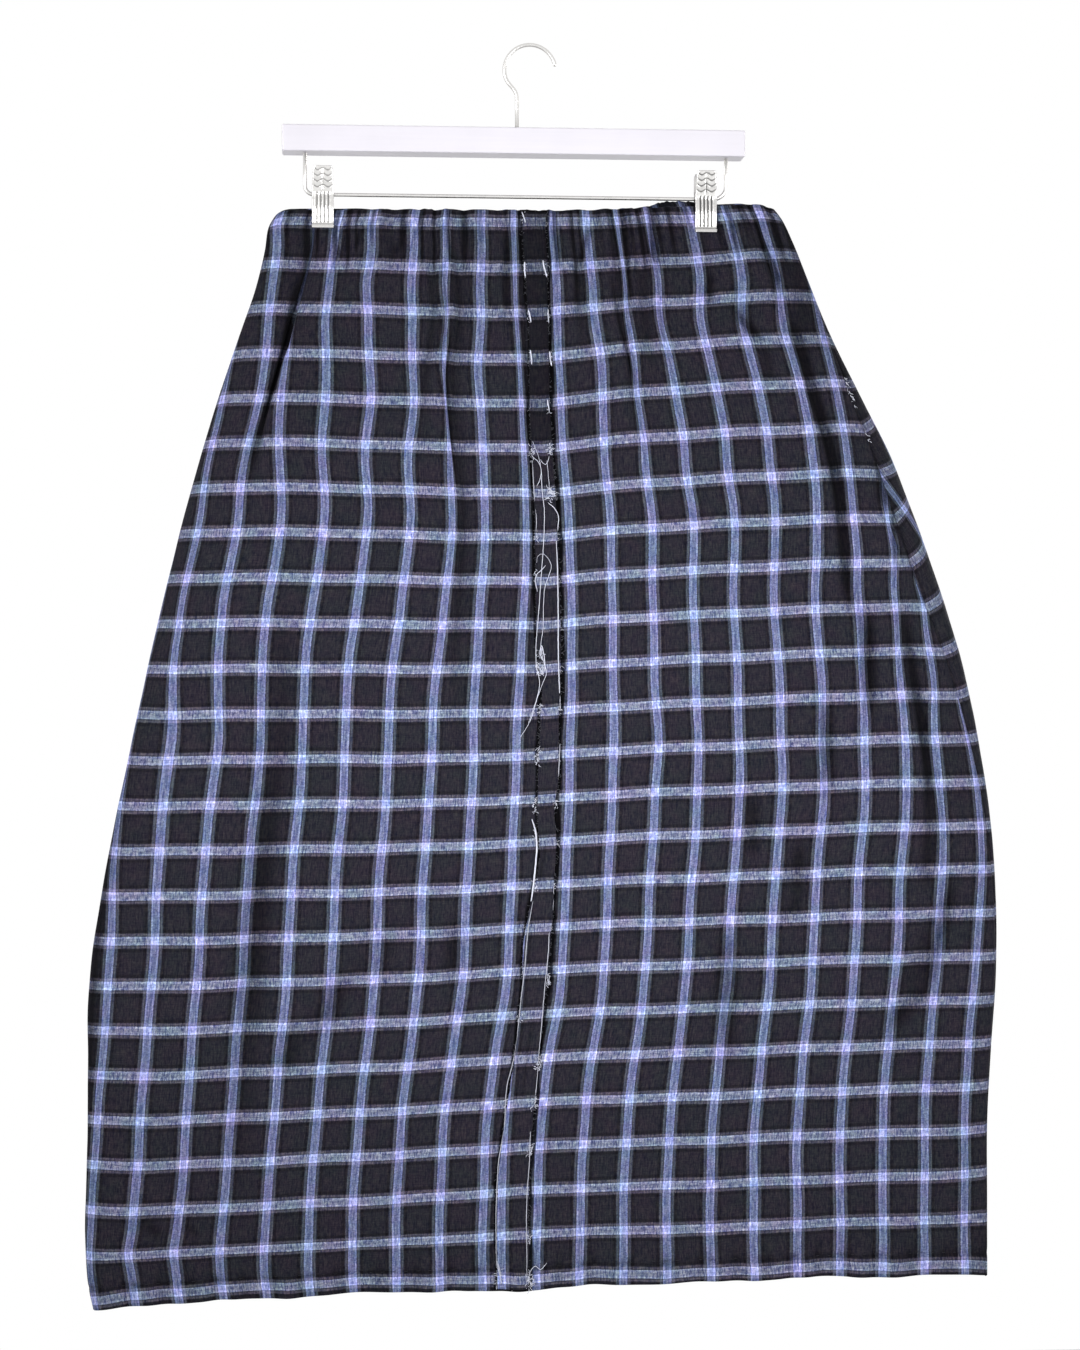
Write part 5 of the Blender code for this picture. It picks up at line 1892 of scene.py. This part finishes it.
def hook_path():
    """The loop is an arc about a point under the origin. It runs on into the stem by a smooth curve."""
    loop = arc_points(0, HOOK_WIRE / 2 - HOOK_RADIUS, HOOK_RADIUS, HOOK_TIP_ANGLE, HOOK_THROAT_ANGLE, 72)
    t = np.linspace(0, 1, 30)[1:, None]
    start, end = loop[-1], np.array([HOOK_STEM_X, 0, HOOK_NECK_Z])
    turn = math.radians(HOOK_THROAT_ANGLE + 90)
    start_pull = start + HOOK_THROAT_PULL * np.array([math.cos(turn), 0, math.sin(turn)])
    end_pull = end + np.array([0, 0, HOOK_NECK_PULL])
    ends = (1 - t) ** 3 * start + t**3 * end
    neck = ends + 3 * (1 - t) * t * ((1 - t) * start_pull + t * end_pull)
    foot = np.array([[HOOK_STEM_X, 0, z] for z in (HOOK_NECK_Z - HOOK_NECK_END, BAR_TOP - INTO_WOOD)])
    return np.concatenate([loop, neck, foot])


def rail_path():
    """The wire under the bar: a leg, a bend, the run, a wider bend and a leg."""
    top = BAR_TOP - BAR_HEIGHT + INTO_WOOD
    tight, wide = RAIL_BEND_LEFT, RAIL_BEND_RIGHT
    left = arc_points(RAIL_LEFT + tight, RAIL_Z + tight, tight, 180, 270, 20)
    right = arc_points(RAIL_RIGHT - wide, RAIL_Z + wide, wide, 270, 360, 24)
    return np.concatenate([[[RAIL_LEFT, 0, top]], left, right, [[RAIL_RIGHT, 0, top]]])


def rounded_start(path, radius, steps=6):
    """The path with its start pulled out into a dome, and the radius at every point."""
    angle = np.linspace(0, math.pi / 2, steps, endpoint=False)
    back = unit(path[0] - path[1])
    dome = path[0] + back * (radius * np.cos(angle))[:, None]
    radii = np.concatenate([np.maximum(radius * np.sin(angle), 0.02), np.full(len(path), radius)])
    return np.concatenate([dome, path]), radii


def add_wire(name, path, radii, node, material):
    rings = tube_points(path[None], radii[None], WIRE_SIDES, (0, 1, 0))
    faces = tube_faces(1, len(path), WIRE_SIDES)
    return add_piece(name, rings.reshape(-1, 3), faces, material, [node])


class SKIRT_OT_hanger(bpy.types.Operator):
    """Make the hanger's hook and rail, and paint its bar"""

    bl_idname = "skirt.hanger"
    bl_label = "Hanger"

    def execute(self, context):
        settings = context.scene.skirt_hanger
        steel = plated_steel("Plated wire", tuple(settings.steel))
        path, radii = rounded_start(hook_path(), HOOK_WIRE / 2)
        add_wire("hook_wire", path, radii, "hanger_hook", steel)
        path = rail_path()
        add_wire("rail_wire", path, np.full(len(path), HOOK_WIRE / 2), "clip_rail", steel)
        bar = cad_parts["hanger_bar"]
        bar.data.materials.clear()
        bar.data.materials.append(painted_wood("Painted wood", tuple(settings.paint)))
        return {"FINISHED"}


# The clips
PLATE_ROWS = 150
PLATE_POINTS_ACROSS = 62
PLATE_THICK = 1.0
LIP_LENGTH = 2.6
LIP_FLARE = 0.9
LIP_RISE = 0.45
HEAD_ROUNDING = 0.12
LIP_ROUNDING = 0.06
EDGE_ROLL = 0.5
RIB_COUNT = 5
RIB_FIELD = 0.86
RIB_HEIGHT = 0.34
RIBS_FROM = 19.0
RIBS_TO = 44.5
BUMP_HEIGHT = 0.35
BUMP_PITCH = 4.3
BUMP_BOW = 0.9
BUMPS_FROM = 0.8
BUMPS_TO = 18.0
LIP_LINE = 45.4
# The painted shade over the whole plate of the dimmed clip.
PLATE_PAINTED_SHADE = 0.13
SPRING_WIRE = 1.1
SPRING_HALF_LENGTH = 5.4
SPRING_STEPS = 26
SPRING_SIDES = 10
SPRING_END = np.array([0.0, 0.1, 9.0])


def plate_relief(depth, share):
    """The pressed pattern of a plate, as height and as how much painted shade its grooves get: two columns
    of bumps on the handle, parted by bowed lines, upright ribs below, and a painted shadow line above the
    lip, which has no height."""
    on_handle = window(depth, BUMPS_FROM, BUMPS_TO, 0.8)
    bow = BUMP_BOW * np.cos(2 * math.pi * share)
    between_rows = bell((np.mod(depth + bow, BUMP_PITCH) - BUMP_PITCH / 2) / 0.5)
    lines = np.maximum(between_rows * ease((0.94 - np.abs(share)) / 0.08), bell(share / 0.075))
    on_jaw = window(depth, RIBS_FROM, RIBS_TO, 1.0)
    inside = ease((0.8 - np.abs(share)) / 0.06)
    ribs = np.clip(np.cos(share / RIB_FIELD * math.pi * RIB_COUNT) * 1.5 - 0.25, -0.8, 0.6)
    handle = -BUMP_HEIGHT * lines * on_handle
    jaw = RIB_HEIGHT * (ribs - 0.2) * on_jaw * inside
    above_lip = bell((depth - LIP_LINE) / 0.45)
    # Painted shade: dark in the lines between the bumps and in the rib hollows, and a shadow line above the
    # lip.
    groove = 0.85 * lines * on_handle + np.clip(-jaw * 3.4, 0, 1) * inside + 0.7 * above_lip
    return handle + jaw, np.clip(groove, 0, 1)


def add_plate(name, middle, side, painted_dimming, node, material):
    """A bent plate with its pressed pattern: rows down its side profile, columns across its width. Its
    inner face gets no painted shade. The fourth argument is 1 for the clip whose grooves and whole plate
    get more painted shade."""
    length = PLATE[-1][0]
    depth = np.linspace(0, length, PLATE_ROWS)
    share = np.linspace(-1, 1, PLATE_POINTS_ACROSS)
    out = column(PLATE, PLATE_COLUMNS, "out", depth)
    slope = np.gradient(out, depth)
    normal = np.stack([np.ones(PLATE_ROWS), slope], -1) / np.sqrt(1 + slope**2)[:, None]
    width = CLIP_TOP_WIDTH + (CLIP_WIDTH - CLIP_TOP_WIDTH) * ease(depth / (CLIP_TOP - RAIL_Z))
    width = width + LIP_FLARE * ease((depth - length + LIP_LENGTH) / 0.8)
    corner = 1 - HEAD_ROUNDING * bell(depth / 1.6) - LIP_ROUNDING * bell((length - depth) / 0.9)
    x = middle + (width * corner / 2)[:, None] * share
    height, groove = plate_relief(depth[:, None], share)
    # Painted shade: the dimmed clip gets darker grooves and a shade over its whole plate.
    groove = np.clip(groove * (0.75 + 0.25 * painted_dimming) + PLATE_PAINTED_SHADE * painted_dimming, 0, 1)
    rolled = EDGE_ROLL * np.clip((np.abs(share) - 0.9) / 0.1, 0, 1) ** 2
    lip = LIP_RISE * ease((depth - length + 2.4) / 0.6)

    def face(offset):
        y = out[:, None] + normal[:, :1] * offset
        z = CLIP_TOP - depth[:, None] + normal[:, 1:] * offset
        return np.stack([x, side * y, z], -1)

    outer = face(PLATE_THICK + height + lip[:, None] - rolled)
    inner = face(np.zeros_like(height))
    if side > 0:
        outer, inner, groove = outer[:, ::-1], inner[:, ::-1], groove[:, ::-1]
    piece = add_shell(name, outer, inner, material, [node])
    painted_groove_shade = shell_values(np.broadcast_to(groove, height.shape))
    painted_groove_shade[PLATE_ROWS + RIM_STEPS : 2 * PLATE_ROWS + RIM_STEPS] = 0
    add_value(piece, "groove", painted_groove_shade)


def add_spring(name, middle, turns, node, material):
    """A coil round the rail: a helix whose end runs straight up between the plates."""
    coil, count = SPRING_RADIUS - SPRING_WIRE / 2, turns * SPRING_STEPS
    angle = np.linspace(0, 2 * math.pi * turns, count)
    x = middle + np.linspace(-SPRING_HALF_LENGTH, SPRING_HALF_LENGTH, count)
    y, z = coil * np.cos(angle), RAIL_Z + coil * np.sin(angle)
    path = np.stack([x, y, z], -1)
    share = np.linspace(0, 1, 8)[1:, None]
    path = np.concatenate([path, path[-1] + share * SPRING_END])
    rings = tube_points(path[None], np.full((1, len(path)), SPRING_WIRE / 2), SPRING_SIDES, (1, 0, 0))
    faces = tube_faces(1, len(path), SPRING_SIDES)
    piece = add_piece(name, rings.reshape(-1, 3), faces, material, [node])
    add_value(piece, "groove", np.zeros(len(piece.data.vertices)))


class SKIRT_OT_clips(bpy.types.Operator):
    """Make the two spring clips: ribbed plates and coiled springs"""

    bl_idname = "skirt.clips"
    bl_label = "Clips"

    def execute(self, context):
        settings = context.scene.skirt_hanger
        steel = plated_steel("Pressed plated steel", tuple(settings.steel), groove=True)
        # The right clip is dimmed with painted shade. The left one is not.
        for name, middle, painted_dimming in (("clip_left", CLIP_LEFT, 0), ("clip_right", CLIP_RIGHT, 1)):
            for face, side in (("front_plate", -1), ("back_plate", 1)):
                add_plate(f"{name}_{face}_ribbed", middle, side, painted_dimming, f"{name}_{face}", steel)
            add_spring(f"{name}_coil", middle, settings.spring_turns, f"{name}_spring", steel)
        return {"FINISHED"}


# The stage
FLOOR_HALF = 1.05
CAMERA_PLACE = (-0.1644, -2.2935, -0.5024)
CAMERA_TURN = 4.3
CAMERA_LENS = 76.67
KEY_PLACE = (-1.35, -1.75, -0.25)
FILL_PLACE = (1.5, -2.0, -0.7)
BACK_PLACE = (1.5, 1.9, -0.3)
LIGHT_SIZE = 1.0
LIGHT_BELOW = 1.8
LIGHT_ABOVE = 1.1
HORIZON_RUN = 0.6
LIGHT_SPREAD = 32.0
AIM = (0.06, 0.0, -0.54)


def add_light(name, place, power):
    """A large square light that faces the skirt."""
    light = bpy.data.lights.new(name, "AREA")
    light.shape = "SQUARE"
    light.size = LIGHT_SIZE
    light.spread = math.radians(LIGHT_SPREAD)
    light.energy = power
    lamp = bpy.data.objects.new(name, light)
    x, y, z = (aim - at for aim, at in zip(AIM, place))
    lamp.location = place
    lamp.rotation_euler = (math.atan2(math.hypot(x, y), -z), 0, math.atan2(-x, y))
    bpy.context.scene.collection.objects.link(lamp)


def white_world(ambient):
    """A world that is plain white to the camera and in the bright metal, and lights the scene with the
    ambient strength, more from below than from above."""
    world = bpy.data.worlds.new("White surroundings")
    world.use_nodes = True
    tree = world.node_tree
    light, seen = tree.nodes["Background"], tree.nodes.new("ShaderNodeBackground")
    light.inputs["Color"].default_value = seen.inputs["Color"].default_value = (1, 1, 1, 1)
    lift = tree.nodes.new("ShaderNodeMapRange")
    strengths = (LIGHT_BELOW * ambient, LIGHT_ABOVE * ambient)
    for socket, number in zip(lift.inputs, (0.0, -HORIZON_RUN, HORIZON_RUN, *strengths)):
        socket.default_value = number
    place, direction = tree.nodes.new("ShaderNodeTexCoord"), tree.nodes.new("ShaderNodeSeparateXYZ")
    path, mix = tree.nodes.new("ShaderNodeLightPath"), tree.nodes.new("ShaderNodeMixShader")
    either = tree.nodes.new("ShaderNodeMath")
    either.operation = "MAXIMUM"
    for output, socket in (
        (place.outputs["Generated"], direction.inputs[0]),
        (direction.outputs["Z"], lift.inputs[0]),
        (lift.outputs[0], light.inputs["Strength"]),
        (path.outputs["Is Camera Ray"], either.inputs[0]),
        (path.outputs["Is Glossy Ray"], either.inputs[1]),
        (either.outputs[0], mix.inputs[0]),
        (light.outputs[0], mix.inputs[1]),
        (seen.outputs[0], mix.inputs[2]),
        (mix.outputs[0], tree.nodes["World Output"].inputs["Surface"]),
    ):
        tree.links.new(output, socket)
    return world


class SKIRT_OT_stage(bpy.types.Operator):
    """Set the pale floor, the soft studio light and the camera"""

    bl_idname = "skirt.stage"
    bl_label = "Stage"

    def execute(self, context):
        settings, scene = context.scene.skirt_stage, context.scene
        quarters = ((-1, -1), (1, -1), (1, 1), (-1, 1))
        corners = [(x * FLOOR_HALF, y * FLOOR_HALF, settings.floor_z) for x, y in quarters]
        mesh = bpy.data.meshes.new("floor")
        mesh.from_pydata(corners, [], [(0, 1, 2, 3)])
        mesh.materials.append(pale_floor("Pale floor"))
        floor = bpy.data.objects.new("floor", mesh)
        scene.collection.objects.link(floor)
        scene.world = white_world(settings.ambient)
        add_light("key", KEY_PLACE, settings.key_power)
        add_light("fill", FILL_PLACE, settings.fill_power)
        add_light("back", BACK_PLACE, settings.back_power)
        camera = bpy.data.objects.new("camera", bpy.data.cameras.new("camera"))
        camera.data.lens = CAMERA_LENS
        camera.location = CAMERA_PLACE
        camera.rotation_euler = (math.pi / 2, 0, -math.radians(CAMERA_TURN))
        scene.collection.objects.link(camera)
        scene.camera = camera
        scene.view_settings.view_transform = "Standard"
        return {"FINISHED"}


class SKIRT_PT_panel(bpy.types.Panel):
    """The skirt's settings and its makers' buttons."""

    bl_label = "Checked Midi Skirt"
    bl_space_type = "VIEW_3D"
    bl_region_type = "UI"
    bl_category = "Skirt"

    def draw(self, context):
        layout = self.layout
        for name in SETTINGS:
            box = layout.box()
            group = getattr(context.scene, name)
            for key in group.bl_rna.properties.keys():
                if key not in ("rna_type", "name"):
                    box.prop(group, key)
        for operator in OPERATORS:
            layout.operator(operator.bl_idname)


SETTINGS = {
    "skirt_cloth": ClothSettings,
    "skirt_strip": StripSettings,
    "skirt_hanger": HangerSettings,
    "skirt_stage": StageSettings,
}
OPERATORS = (
    SKIRT_OT_panels, SKIRT_OT_strip, SKIRT_OT_yarns, SKIRT_OT_stitches, SKIRT_OT_hanger, SKIRT_OT_clips,
    SKIRT_OT_stage,
)


def register():
    for group in (*SETTINGS.values(), *OPERATORS, SKIRT_PT_panel):
        bpy.utils.register_class(group)
    for name, group in SETTINGS.items():
        setattr(bpy.types.Scene, name, PointerProperty(type=group))


def unregister():
    for name in SETTINGS:
        delattr(bpy.types.Scene, name)
    for group in (SKIRT_PT_panel, *reversed(OPERATORS), *reversed(SETTINGS.values())):
        bpy.utils.unregister_class(group)


def main():
    register()
    bpy.ops.skirt.panels()
    bpy.ops.skirt.strip()
    bpy.ops.skirt.yarns()
    bpy.ops.skirt.stitches()
    bpy.ops.skirt.hanger()
    bpy.ops.skirt.clips()
    bpy.ops.skirt.stage()


if __name__ == "__main__":
    main()
